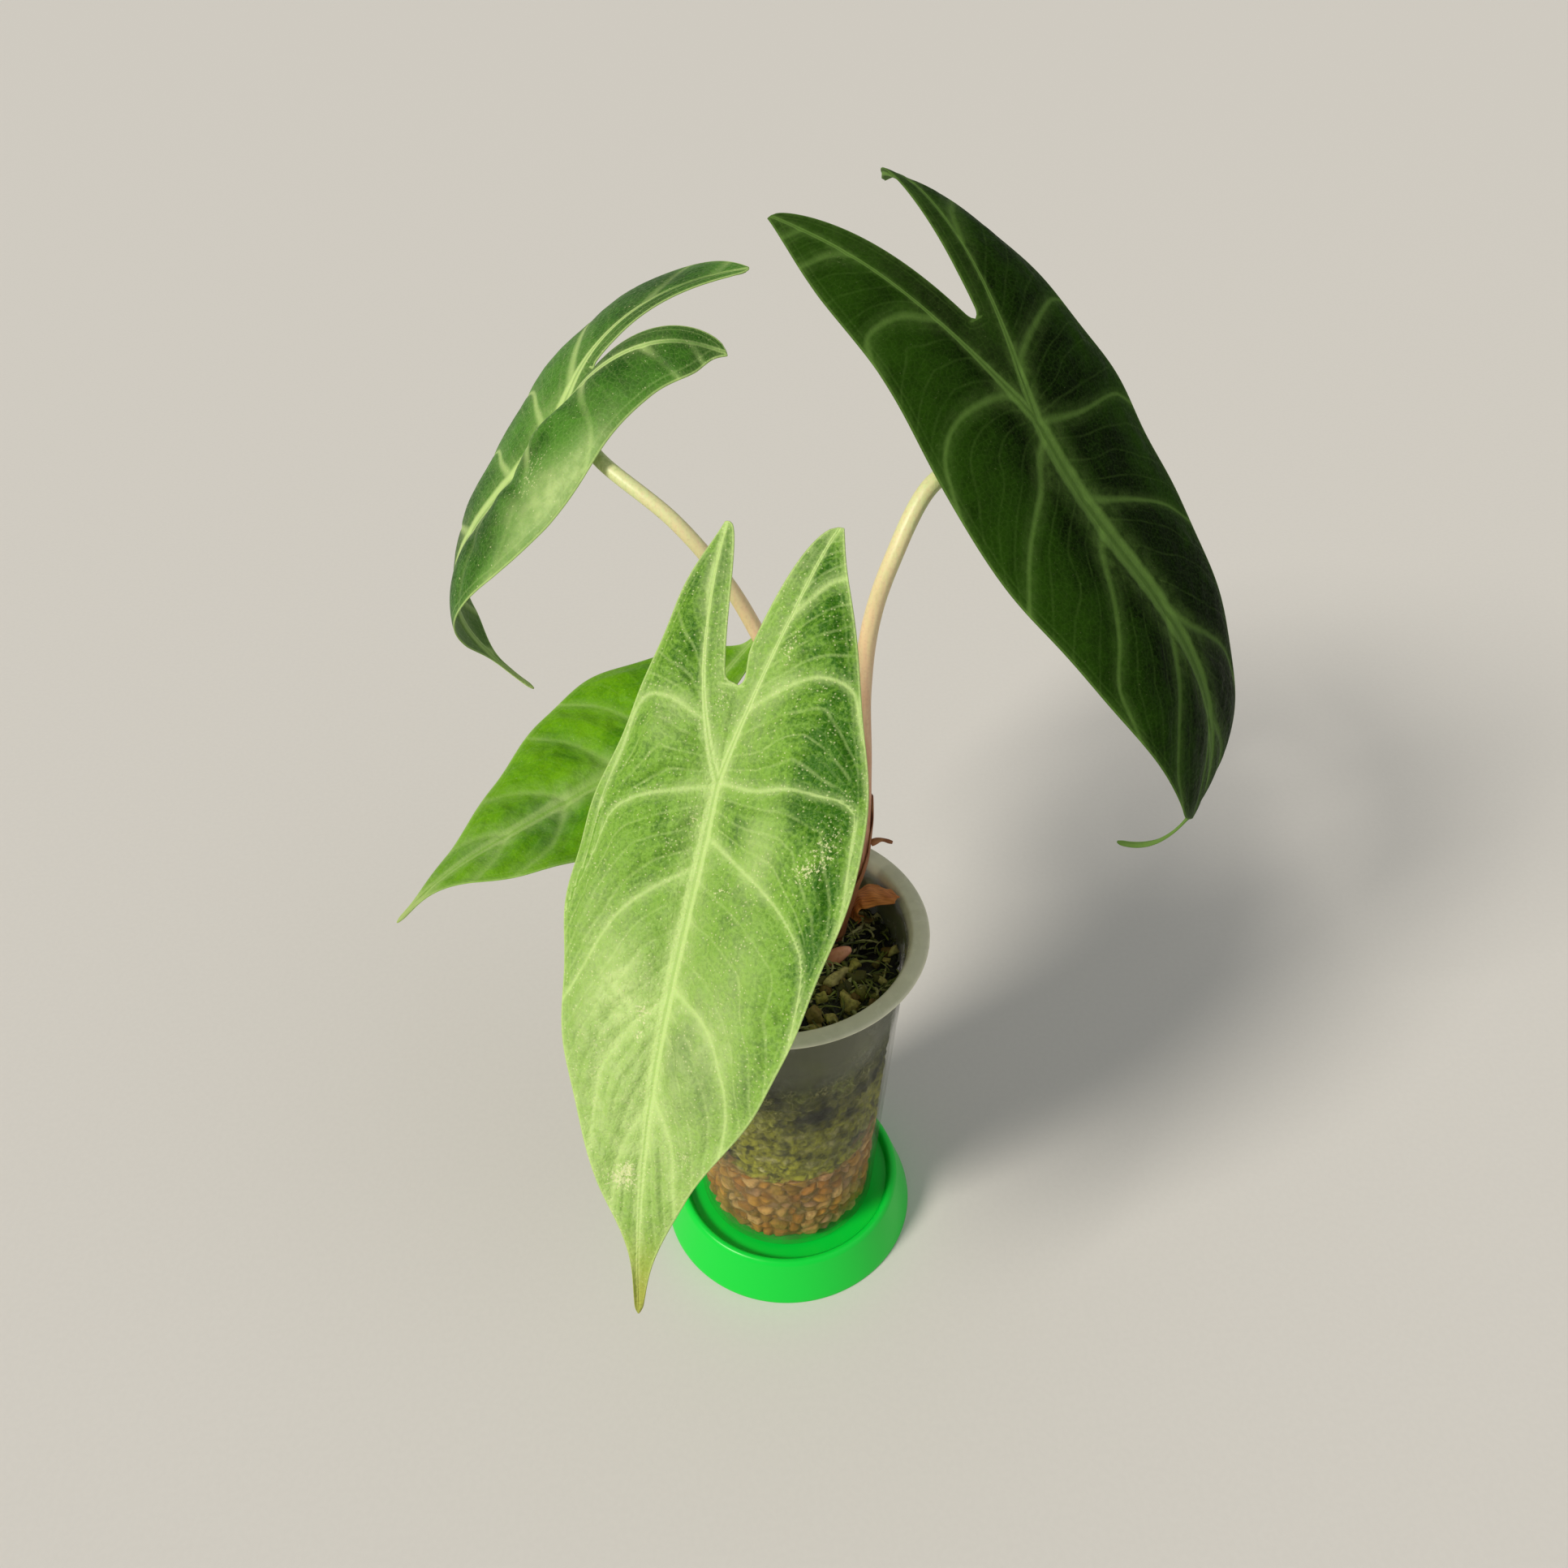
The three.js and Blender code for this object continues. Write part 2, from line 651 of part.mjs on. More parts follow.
// Pot: foot ring, tapered wall and a wide rim turned down at its edge
const potShell = solid(turned([
  [0, POT_BASE + 1],
  [POT_FOOT_RADIUS, POT_BASE + 1],
  [POT_FOOT_RADIUS + 0.5, POT_BASE],
  [POT_BASE_RADIUS - 0.7, POT_BASE],
  [POT_BASE_RADIUS, POT_BASE + 0.9],
  [POT_NECK_RADIUS, POT_NECK_HEIGHT],
  [POT_NECK_RADIUS + 0.9, POT_TOP - 1.9],
  [POT_RIM_RADIUS - 0.9, POT_TOP - 2.3],
  [POT_RIM_RADIUS - 0.9, POT_TOP - 4.6],
  [POT_RIM_RADIUS - 0.1, POT_TOP - 4.6],
  [POT_RIM_RADIUS, POT_TOP - 1.8],
  [POT_RIM_RADIUS - 0.9, POT_TOP - 0.5],
  [POT_RIM_RADIUS - 2.8, POT_TOP],
  [POT_NECK_RADIUS + 0.8, POT_TOP - 0.5],
  [POT_NECK_RADIUS - 0.1, POT_TOP - 1.7],
  [POT_NECK_RADIUS - POT_WALL, POT_NECK_HEIGHT],
  [POT_BASE_RADIUS - POT_WALL, POT_BASE + 1.9],
  [POT_BASE_RADIUS - POT_WALL - 0.6, POT_BASE + POT_FLOOR],
  [POT_FOOT_RADIUS + 0.9, POT_BASE + POT_FLOOR],
  [POT_FOOT_RADIUS + 0.4, POT_BASE + 1 + POT_FLOOR],
  [0, POT_BASE + 1 + POT_FLOOR],
]));
const drains = [];
for (let i = 0; i < DRAIN_HOLES; i += 1) {
  const turn = (i / DRAIN_HOLES) * 2 * Math.PI;
  drains.push(new THREE.CylinderGeometry(DRAIN_RADIUS, DRAIN_RADIUS, 8, 10).rotateX(Math.PI / 2)
    .translate(DRAIN_CIRCLE * Math.cos(turn), DRAIN_CIRCLE * Math.sin(turn), POT_BASE + 1.5));
}
const potBody = drains.reduce((body, hole) => body.subtract(solid(hole)), potShell);

// Clay granules
const granulesFloor = POT_BASE + 1 + POT_FLOOR + GAP;
const granulesGeometry = filling(granulesFloor, GRANULES_TOP, 6, 2, () => GRANULES_TOP,
  PEBBLE_RELIEF, 1);

// Corm with its roots
function cormBody(clearance) {
  const c = clearance;
  const heart = new THREE.LatheGeometry([
    [0, CORM_TOP - CORM_DEPTH - c],
    [0.55 * CORM_RADIUS + c, CORM_TOP - 0.95 * CORM_DEPTH - c],
    [0.9 * CORM_RADIUS + c, CORM_TOP - 0.72 * CORM_DEPTH],
    [CORM_RADIUS + c, CORM_TOP - 0.45 * CORM_DEPTH],
    [0.97 * CORM_RADIUS + c, CORM_TOP - 0.18 * CORM_DEPTH],
    [0.84 * CORM_RADIUS + c, CORM_TOP + c],
    [0, CORM_TOP + c],
  ].map(([r, z]) => new THREE.Vector2(r, z)), 12).rotateX(Math.PI / 2)
    .translate(CROWN[0], CROWN[1], 0);
  let body = solid(heart);
  for (let i = 0; i < ROOTS; i += 1) {
    const turn = ((i + 0.3) / ROOTS) * 2 * Math.PI;
    const drop = 26 + 5 * Math.sin(i * 2.1);
    const [dx, dy] = [Math.cos(turn), Math.sin(turn)];
    const spot = (out, down) => [CROWN[0] + dx * out, CROWN[1] + dy * out, CORM_TOP - down];
    const reach = 11 - 0.3 * (CROWN[0] * dx + CROWN[1] * dy);
    const path = curveThrough([spot(3, 11), spot(reach, 14), spot(reach + 2, 24), spot(reach, 18 + drop)]);
    const radius = (t) => ROOT_RADIUS * (1 - 0.4 * t) + c;
    body = body.add(solid(tube(path, 5, 5, radius, c)));
  }
  return body;
}

// Dry sheath round the foot of the upper right stem, open at one side and drawn to a point
function wrappedSheath(leaf, from, to, facing, clearance = 0) {
  const curve = stemCurve(leaf);
  const [base, end] = leaf.stemRadius;
  const top = [];
  const bottom = [];
  const triangles = [];
  const rows = 9;
  const columns = 6;
  for (let i = 0; i <= rows; i += 1) {
    const share = i / rows;
    const t = THREE.MathUtils.lerp(from, to, share);
    const centre = curve.getPointAt(t);
    centre.z -= i === 0 ? clearance : 0;
    const radius = THREE.MathUtils.lerp(base, end, Math.min(t * 1.6, 1)) + GAP + 0.35
      + 0.5 * Math.sin(share * 9) ** 2 * share;
    const spread = radians(118) * (1 - share) ** 0.6 + radians(9) + clearance / radius;
    for (let j = 0; j <= columns; j += 1) {
      const turn = radians(facing) + spread * ((2 * j) / columns - 1);
      const way = new THREE.Vector3(Math.cos(turn), Math.sin(turn), 0);
      top.push(centre.clone().addScaledVector(way, radius + 0.65 + clearance));
      bottom.push(centre.clone().addScaledVector(way, radius - clearance));
      if (i < rows && j < columns) {
        const p = i * (columns + 1) + j;
        triangles.push([p, p + 1, p + columns + 2], [p, p + columns + 2, p + columns + 1]);
      }
    }
  }
  return sheet(top, bottom, triangles);
}

// Dry sheath folded over on the moss: a cupped strip along a curve
function foldedSheath(points, widths, cup, thickness, clearance = 0) {
  const curve = curveThrough(points);
  const top = [];
  const bottom = [];
  const triangles = [];
  const rows = 8;
  const columns = 4;
  for (let i = 0; i <= rows; i += 1) {
    const t = i / rows;
    const along = curve.getTangentAt(t);
    const centre = curve.getPointAt(t).addScaledVector(along, i === 0 ? -clearance : 0);
    const across = new THREE.Vector3(0, 0, 1).cross(along).normalize();
    const up = along.clone().cross(across);
    const width = smooth([0, 0.35, 0.7, 1], widths, t) + clearance;
    for (let j = 0; j <= columns; j += 1) {
      const angle = cup * ((2 * j) / columns - 1);
      const radius = width / cup;
      const normal = across.clone().multiplyScalar(Math.sin(angle)).addScaledVector(up, Math.cos(angle));
      const middle = centre.clone().addScaledVector(normal, radius).addScaledVector(up, -radius);
      top.push(middle.clone().addScaledVector(normal, thickness / 2 + clearance));
      bottom.push(middle.clone().addScaledVector(normal, -thickness / 2 - clearance));
      if (i < rows && j < columns) {
        const p = i * (columns + 1) + j;
        triangles.push([p, p + 1, p + columns + 2], [p, p + columns + 2, p + columns + 1]);
      }
    }
  }
  return sheet(top, bottom, triangles);
}

// Dry sheaths: the first holds a share of the upper right stem and has a thin curl at its top
const sheathedLeaf = leaves.find((leaf) => leaf.name === "upper_right");
const uprightSpan = [0.04, 0.29, 20];
const uprightSheath = solid(wrappedSheath(sheathedLeaf, ...uprightSpan));
const curl = tube(curveThrough([[26.3, 14.6, 138.6], [28.3, 14.6, 139.6], [31, 14, 139]]), 4, 5,
  (t) => 1.1 - 0.5 * t);
const sheathWithCurl = uprightSheath.add(solid(curl));
const lyingPath = [[19, 15.5, 108], [20.5, 16, 115], [24, 14.5, 119.5], [28, 11.5, 121], [31.2, 8.8, 122]];
const lyingShape = [lyingPath, [2, 4.2, 3.6, 1.2], 0.9, 0.8];
const lyingSheath = solid(foldedSheath(...lyingShape));

// New shoot: a pointed spike beside the crown
const shootCurve = curveThrough([[12.5, -0.5, 103.7], [13.3, -1.2, 110], [16, -2.5, 114.5], [19, -3, 117]]);
const shootWidth = (t) => 2.4 * Math.sqrt(Math.max(1 - t ** 2.2, 0)) + 0.35;

// Moss: the filling with small granules and strands fused to its surface, cut clear of the plant
let mossBody = solid(filling(GRANULES_TOP + GAP, MOSS_EDGE_HEIGHT, 5, 8, mossHeight, 0.9, 7));
const draw = randomFrom(11);
for (let i = 0; i < SURFACE_GRANULES; i += 1) {
  const turn = draw() * 2 * Math.PI;
  const out = Math.sqrt(draw()) * 27.5;
  const [x, y] = [out * Math.cos(turn), out * Math.sin(turn)];
  const size = 1.6 + 1.5 * draw();
  const stone = new THREE.IcosahedronGeometry(size, 0).scale(1.15, 0.9, 0.8)
    .rotateZ(draw() * 3).translate(x, y, mossHeight(x, y) + 0.15 * size);
  mossBody = mossBody.add(solid(stone));
}
for (let i = 0; i < SURFACE_STRANDS; i += 1) {
  const turn = draw() * 2 * Math.PI;
  const out = Math.sqrt(draw()) * 24;
  const [x, y] = [out * Math.cos(turn), out * Math.sin(turn)];
  const lean = draw() * 2 * Math.PI;
  const spot = (reach, rise) => {
    const [px, py] = [x + reach * Math.cos(lean), y + reach * Math.sin(lean)];
    return [px, py, mossHeight(px, py) + rise];
  };
  const path = curveThrough([spot(0, -1.5), spot(2, 0.5), spot(5, 0.6), spot(7.5, -0.8)]);
  mossBody = mossBody.add(solid(tube(path, 4, 4, () => 0.8)));
}
mossBody = mossBody.subtract(cormBody(GAP));
leaves.forEach((leaf) => {
  mossBody = mossBody.subtract(solid(stemGeometry(leaf, GAP)));
});
mossBody = mossBody.subtract(solid(tube(shootCurve, 6, 8, (t) => shootWidth(t) + GAP, GAP)));
mossBody = mossBody.subtract(solid(wrappedSheath(sheathedLeaf, ...uprightSpan, GAP)));
mossBody = mossBody.subtract(solid(foldedSheath(...lyingShape, GAP)));
mossBody = biggest(mossBody);

const plant = new THREE.Group();
function put(name, geometry, colour, roughness, options = {}) {
  const shape = closed(geometry);
  shape.computeVertexNormals();
  const material = new THREE.MeshStandardMaterial({ color: colour, roughness, metalness: 0, ...options });
  const mesh = new THREE.Mesh(shape, material);
  mesh.name = name;
  plant.add(mesh);
}

put("saucer", saucerGeometry, 0x12c552, 0.3);
put("pot", geometryOf(potBody), 0xb9bda6, 0.25, { transparent: true, opacity: 0.45 });
put("clay_granules", granulesGeometry, 0xb8894e, 0.9);
put("moss", geometryOf(mossBody), 0x4f4f2a, 0.95);
put("corm", geometryOf(cormBody(0)), 0x8a6a48, 0.8);
leaves.forEach((leaf) => {
  const blade = bladeGeometry(leaf, 0);
  const trimmed = biggest(solid(stemGeometry(leaf, 0)).subtract(solid(bladeGeometry(leaf, GAP))));
  put(`blade_${leaf.name}`, blade, leaf.colour, 0.55);
  put(`stem_${leaf.name}`, geometryOf(trimmed), 0xd9c9a0, 0.5);
});
put("sheath_upright", geometryOf(sheathWithCurl), 0x6e3c28, 0.8);
put("sheath_lying", geometryOf(lyingSheath), 0xc87a3e, 0.75);
put("new_shoot", tube(shootCurve, 6, 8, shootWidth), 0xe0937a, 0.5);

const box = new THREE.Box3().setFromObject(plant);
const middle = box.getCenter(new THREE.Vector3());
plant.position.set(-middle.x, -middle.y, 0);

export default plant;
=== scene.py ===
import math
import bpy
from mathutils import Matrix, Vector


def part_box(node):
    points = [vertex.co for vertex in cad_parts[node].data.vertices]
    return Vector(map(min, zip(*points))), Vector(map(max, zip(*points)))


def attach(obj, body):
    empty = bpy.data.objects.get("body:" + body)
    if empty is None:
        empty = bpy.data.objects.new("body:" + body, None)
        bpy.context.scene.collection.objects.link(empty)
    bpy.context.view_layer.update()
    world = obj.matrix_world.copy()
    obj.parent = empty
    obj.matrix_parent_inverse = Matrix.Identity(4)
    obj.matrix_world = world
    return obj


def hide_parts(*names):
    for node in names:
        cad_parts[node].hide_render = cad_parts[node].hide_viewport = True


bl_info = {
    "name": "Variegated alocasia in a nursery pot",
    "version": (1, 0, 0),
    "blender": (4, 5, 0),
    "location": "View3D > Sidebar > Alocasia",
    "description": "Dresses the packed plant with fine blades, stems, moss, clay, pot and saucer",
    "category": "Add Mesh",
}

from functools import partial

import bpy
import numpy as np
from bpy.props import FloatProperty, FloatVectorProperty, IntProperty, PointerProperty
from mathutils import Matrix, Vector

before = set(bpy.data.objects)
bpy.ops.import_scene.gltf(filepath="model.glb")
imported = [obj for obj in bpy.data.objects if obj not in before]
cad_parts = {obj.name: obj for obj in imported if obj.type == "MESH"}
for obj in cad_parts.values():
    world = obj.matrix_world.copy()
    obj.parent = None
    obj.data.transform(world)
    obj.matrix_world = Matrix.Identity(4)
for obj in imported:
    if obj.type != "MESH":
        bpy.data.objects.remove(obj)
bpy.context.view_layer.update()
MM = 0.001
POT_LOW, POT_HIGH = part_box("pot")
# Everything below is worked out in millimetres from the pot's axis on the table
POT_AXIS = np.array([(POT_LOW[0] + POT_HIGH[0]) / 2, (POT_LOW[1] + POT_HIGH[1]) / 2, 0.0]) / MM

# Forms of the four leaves, as in the part: the joint of stem and blade, length from there to the
# tip, depth of the cleft, posture of the spine, and for each half its widths, lobe and slopes.
# "stem" holds the points that the stalk passes through and "stem_radius" its radius at foot and
# top. "wave" is the height, length and phase of the edge's waves. "tail" is where the blade
# narrows to a slender tail, as two shares of its length, and the tail's half width
LEAVES = {
    "front": {
        "joint": (-12, -23.5, 194),
        "length": 123,
        "sinus": 21.5,
        "stations": (0, 0.35, 0.7, 1),
        "heading": (-109, -112, -114, -106, -91),
        "pitch": (-46, -48, -51, -59, -58),
        "roll": (8, 8, 12, 5, 4),
        "left": {
            "widths": (36.5, 37, 29, 11.5, 3.5),
            "lobe": 58.5,
            "lobe_widths": (18, 23, 30),
            "lobe_vein": (15.5, 0.85),
            "inner": 5.5,
            "rise": (0, -15, -6),
            "droop": (19, 5, -2),
        },
        "right": {
            "widths": (26.5, 31, 23.5, 10, 1.5),
            "lobe": 57.5,
            "lobe_widths": (14.5, 19.5, 22.5),
            "lobe_vein": (11.5, 2.6),
            "inner": 4.5,
            "rise": (5, -16, -5),
            "droop": (20, 10, 2),
        },
        "stem": ((7.5, 3, 103.6), (7, 2.5, 118), (4.5, 0, 140), (-1, -5, 162), (-7.5, -12, 180)),
        "stem_radius": (2.6, 1.9),
        "wave": (0.6, 27, 20),
    },
    "upper_right": {
        "joint": (64, 45, 243),
        "length": 145,
        "sinus": 26.5,
        "stations": (0, 0.3, 0.6, 0.8, 0.9, 1),
        "heading": (-39, -45, -36, -31, -32, -37, -48),
        "pitch": (-7, -48, -42, -75, -105, -130, -163),
        "roll": (6, 6, 5, 4, 3, -1, -4),
        "left": {
            "widths": (37, 35.5, 24.5, 16, 7.5),
            "lobe": 79.5,
            "lobe_widths": (27.5, 29.5, 32),
            "lobe_vein": (34, 0.53),
            "inner": 5.3,
            "rise": (-18, 1, -8),
            "droop": (45, 16, 17),
        },
        "right": {
            "widths": (31, 33, 30, 15.5, 6),
            "lobe": 80.5,
            "lobe_widths": (21, 28, 29.5),
            "lobe_vein": (16, 1.95),
            "inner": 7,
            "rise": (4, -6, -10),
            "droop": (14, 18, 10),
        },
        "stem": ((14.2, 8.7, 104.3), (15.6, 9.8, 114), (18.3, 11.5, 124), (21.8, 14, 136),
                 (23, 19.5, 160), (23, 22.5, 183), (25, 24, 202), (29.5, 26, 217),
                 (39, 34, 232.5), (50, 40, 236.5)),
        "stem_radius": (3.1, 2.1),
        "wave": (0.25, 31, 70),
        "tail": (0.7, 0.83, 1.25),
    },
    "upper_left": {
        "joint": (-48.5, 66, 238.5),
        "length": 91.5,
        "sinus": 13.5,
        "stations": (0, 0.35, 0.6, 0.8, 1),
        "heading": (-178, -143, -163, -172, -183, -195),
        "pitch": (-1, -40, -46, -81, -123, -145),
        "roll": (0, 15, 6, 4, -1, -3),
        "left": {
            "widths": (26, 27, 20.5, 6, 1.5),
            "lobe": 46.5,
            "lobe_widths": (27.5, 29.5, 27.5),
            "lobe_vein": (26.5, 1.25),
            "inner": 6.8,
            "rise": (-21, -30, 13),
            "droop": (59, 57, 28),
        },
        "right": {
            "widths": (30.5, 26, 17.5, 9.5, 2.5),
            "lobe": 58,
            "lobe_widths": (20, 32, 35.5),
            "lobe_vein": (11, 2.5),
            "inner": 4.5,
            "rise": (-9, -15, 10),
            "droop": (9, 22, 16),
        },
        "stem": ((8.5, 13.5, 103.9), (10.5, 15.2, 122), (11, 21.5, 150), (8, 26.5, 170),
                 (-2.5, 32, 195), (-10, 33.5, 210), (-21, 37, 224), (-38, 49, 234)),
        "stem_radius": (2.6, 1.85),
        "wave": (0.25, 24, 140),
        "tail": (0.74, 0.9, 1.2),
    },
    "lower_left": {
        "joint": (-25.5, 26, 166.5),
        "length": 85.5,
        "sinus": 14,
        "stations": (0, 0.35, 0.7, 1),
        "heading": (-147, -144, -141, -133, -114),
        "pitch": (-14, -7, -2, 2, -1),
        "roll": (-8, -6, -2, 3, 14),
        "left": {
            "widths": (27.5, 25.5, 20, 12, 2),
            "lobe": 32,
            "lobe_widths": (11.5, 17, 23),
            "lobe_vein": (8, 1.2),
            "inner": 4,
            "rise": (-10, -9, -10),
            "droop": (11, 14, 9),
        },
        "right": {
            "widths": (31.5, 28, 16.5, 5, 1),
            "lobe": 37,
            "lobe_widths": (14, 21.5, 27),
            "lobe_vein": (13, 1.2),
            "inner": 5,
            "rise": (-10, -10, -1),
            "droop": (14, 5, 8),
        },
        "stem": ((3.2, 8.5, 103.7), (2.8, 9.5, 118), (-4, 16, 143), (-13, 22, 157)),
        "stem_radius": (2.2, 1.5),
        "wave": (0.3, 22, 0),
    },
}
WIDTH_STATIONS = (0, 0.25, 0.5, 0.75, 0.9, 1)
LOBE_STATIONS = (1, 0.9, 0.67, 0.33)
# Distance from the spine at which a half has turned from its rise to its droop
DROOP_WIDTH = 30
# Over the last millimetres a blade closes to a point, and the cleft's bottom is rounded
POINT_LENGTH = 1.6
CLEFT_LENGTH = 2.2
# Half width of a blade's end before it closes, and what a slender tail loses of its width
END_WIDTH = 0.6
TAIL_TAPER = 0.4

# Side veins of each blade on the flat leaf: distance past the joint, distance left of the midrib
SIDE_VEINS = {
    "front": (
        ((-40, 10.7), (-46, 16), (-48, 20)),
        ((-20, 8), (-23, 12), (-26, 18), (-26, 23), (-24, 27), (-18, 30)),
        ((0, 1), (0, 10.5), (-2, 18), (-2, 25.8), (-2, 30), (0, 34), (7, 35.5)),
        ((12, 0.5), (14, 6), (17, 13), (20, 19.5), (23, 24.5), (30, 32), (36, 33.7), (44, 33.5)),
        ((46, 0.5), (48, 6.4), (50, 11), (54, 15), (59, 17.5), (62, 19), (68, 20), (79, 19)),
        ((70, 0.3), (75, 4), (81, 7), (90, 8)),
        ((-36, -10.5), (-41, -12), (-45, -12)),
        ((-13, -5.5), (-14, -9), (-16, -13.5), (-16.5, -17.5), (-16, -20.5), (-12, -23), (-6, -24)),
        ((1, -0.5), (4, -10.5), (6, -16), (8, -19.5), (10, -22), (13, -24), (20, -26)),
        ((19, -0.5), (22, -4.5), (26, -9.5), (30, -13.5), (34, -16.5), (39, -19), (52, -24)),
        ((48, -0.5), (53, -4), (56, -7), (61, -9.5), (66, -12), (71, -12.7), (82, -12.5)),
        ((72, -0.3), (78, -3), (85, -5.5), (93, -6.2)),
    ),
    "upper_right": (
        ((-45, 12.2), (-52, 18), (-56, 25)),
        ((-12, 3.5), (-14, 5), (-19, 14.6), (-23, 28), (-22, 33)),
        ((1, 0.3), (4, 13.8), (5, 32.3), (8, 36)),
        ((22, 0.4), (26, 8.3), (30, 16.4), (37, 27), (45, 33)),
        ((54, 0.3), (62, 5.5), (68, 11), (77, 18), (88, 21)),
        ((84, 0.3), (91, 4), (99, 8), (109, 10)),
        ((-55, -13), (-60, -18), (-62, -23)),
        ((-31, -10), (-36, -16.7), (-37, -22.4), (-36, -27), (-30, -29.5)),
        ((-6, -2), (-8, -5.5), (-9, -15), (-7, -22.4), (-2, -27.4), (5, -30)),
        ((5, -1), (8, -5.3), (14, -9.7), (19, -16.4), (24, -22.8), (32, -31)),
        ((30, -1), (34, -6.3), (42, -11.8), (51, -19.5), (59, -27.5), (68, -29.5)),
        ((56, -1), (62, -5.4), (70, -11), (78, -17.7), (87, -21.6), (99, -20)),
        ((86, -0.5), (93, -4), (101, -8), (111, -10)),
    ),
    "upper_left": (
        ((-24, 20), (-24.5, 25), (-25, 28.5)),
        ((-10, 4), (-5, 11.5), (0, 21), (6, 25)),
        ((8, 0.5), (12, 6), (18, 13.8), (22, 16.4), (28, 20), (35, 23)),
        ((26, 0.5), (32, 7), (38, 12.5), (46, 17)),
        ((45, 0.5), (51, 5), (58, 9), (66, 10)),
        ((-34, -9.5), (-40, -16), (-44, -22)),
        ((-3, -1), (-5, -2), (-10, -7), (-18, -17.5), (-23, -27)),
        ((6, -1), (3, -9), (-1, -20), (0, -29)),
        ((20, -1), (20, -10), (19, -18), (23, -26)),
        ((38, -0.5), (41, -8), (44, -14), (51, -19)),
        ((56, -0.5), (61, -5), (68, -9)),
    ),
    "lower_left": (
        ((-8, 3), (-10, 11), (-12, 18)),
        ((1, 0.5), (4, 10), (8, 18), (14, 24)),
        ((17, 0.5), (21, 8), (26, 15), (34, 20)),
        ((33, 0.5), (39, 7), (46, 12), (55, 14)),
        ((51, 0.5), (57, 5), (65, 8)),
        ((-9, -4), (-11, -12), (-13, -20)),
        ((1, -0.5), (4, -11), (8, -21), (14, -28.5)),
        ((16, -0.5), (18, -8), (21, -16), (27, -24)),
        ((32, -0.5), (36, -6.5), (42, -11.5), (50, -14)),
        ((50, -0.5), (55, -4), (62, -6)),
    ),
}
# Past its outermost side veins a half goes on as if there were one every 11 mm
VEIN_SPACING = 11.0
# Patches of deeper green on the flat leaf, partly the leaf's own deeper green and partly painted
# shade where a blade turns from the light: distance past the joint, distance left of the
# midrib, half length, half width and strength
DEEP_AND_SHADE_PATCHES = {
    "front": ((-37, 17, 12, 7, 0.7), (-49, 15, 7, 5, 0.5), (-26, 25, 10, 5, 0.6),
              (-9, 27, 11, 7, 1.1), (-1, 25, 8, 6, 1.1), (16, 32, 14, 4, 0.8),
              (60, 5.5, 7, 3.5, 1), (62, 14, 9, 3, 1), (-47, 1, 9, 3, 1.4), (-56, 8, 8, 6, 1.2),
              (-50, -10, 12, 5, 0.9), (32, 34, 14, 3, 0.5), (-28, -13, 16, 7, 0.5),
              (-22, 3, 10, 4, 0.3), (8, 9, 7, 4, 0.4), (6, -13, 8, 5, 0.2), (18, -9, 8, 4, 0.25),
              (55, 9, 7, 2, 0.7), (62, 24, 7, 3, 0.4), (78, -4, 8, 3, 0.3), (72, 9, 6, 2.5, 0.3)),
    "upper_right": ((-40, -8, 16, 4, 0.5), (10, -8, 50, 9, 0.6), (0, 14, 60, 16, 0.8),
                    (60, 8, 30, 16, 0.6), (84, 0, 36, 30, 0.6)),
    "upper_left": ((-40, 12, 20, 26, 0.9), (-36, -24, 16, 16, 0.6), (40, -8, 20, 14, 0.6),
                   (66, 0, 20, 30, 0.9), (34, 12, 8, 8, 0.6), (10, -24, 14, 8, 0.3),
                   (28, 7, 18, 4, 0.5), (10, 9, 8, 4, 0.3), (-14, 10, 12, 12, 0.6)),
    "lower_left": ((22, -16, 4, 9, 0.4), (40, 6, 12, 7, 0.9), (8, -7, 7, 5, 0.5),
                   (37, -3, 6, 3, 0.5), (-12, -20, 12, 8, 0.5), (56, -2, 8, 4, 0.3)),
}
# Clusters of cream specks, as above
CREAM_PATCHES = {
    "front": ((53, -5, 2.5, 2.2, 1), (58, -4.7, 1.8, 1.2, 0.9), (14, 27, 2.2, 1.8, 0.8),
              (22, 9, 1.8, 1.4, 0.7), (7, 31, 4.5, 3, 0.7), (-31, 11, 4.5, 1.2, 0.9),
              (9, -3, 2.4, 1, 0.7), (-18, -3.3, 1.8, 0.8, 0.8), (82, 10.7, 1.6, 1.4, 0.7),
              (91, -4.3, 2.2, 3.8, 1.5), (88, -3.4, 1.4, 1.6, 1.5), (12, 29.5, 3.2, 2.4, 0.7)),
    "upper_right": ((-57, -17, 2.5, 1.5, 0.7),),
    "upper_left": ((16, 13, 7, 4, 0.6),),
    "lower_left": ((60, 3, 6, 3, 0.3),),
}
# Lighter, greyer patches, partly bloom and partly a painted sheen, as above
PALE_AND_SHEEN_PATCHES = {
    "front": ((76, -2, 32, 26, 1.1), (50, -14, 18, 10, 0.7), (52, 16, 12, 8, 0.7),
              (30, 4, 22, 5, 0.5), (13, 16, 10, 5, 0.9), (4, -3, 12, 5, 0.4),
              (-12, 6, 12, 6, 0.5), (-26, 10, 8, 4, 0.4), (34, -22, 14, 5, 0.3),
              (34, 20, 8, 6, 0.4), (-12, -14, 7, 5, 0.6), (48, -10, 8, 6, 0.6)),
    "upper_left": ((12, 24, 14, 5, 1.1), (18, 18, 8, 5, 0.6), (36, 24, 18, 2.5, 0.5),
                   (2, -3, 8, 5, 0.3)),
    "lower_left": ((-4, 18, 18, 12, 0.5), (20, 2, 24, 4, 0.3)),
}
# Bumps that a blade makes beside its midrib, as above with their height in place of strength
SWELLS = {
    "upper_left": ((8, 5, 8, 4, 2.3), (30, 3, 12, 3, -0.5), (20, 13, 1.7, 9, -1.1),
                   (24, 13, 2.4, 9, 0.5), (36, 12, 1.7, 9, -0.5)),
}
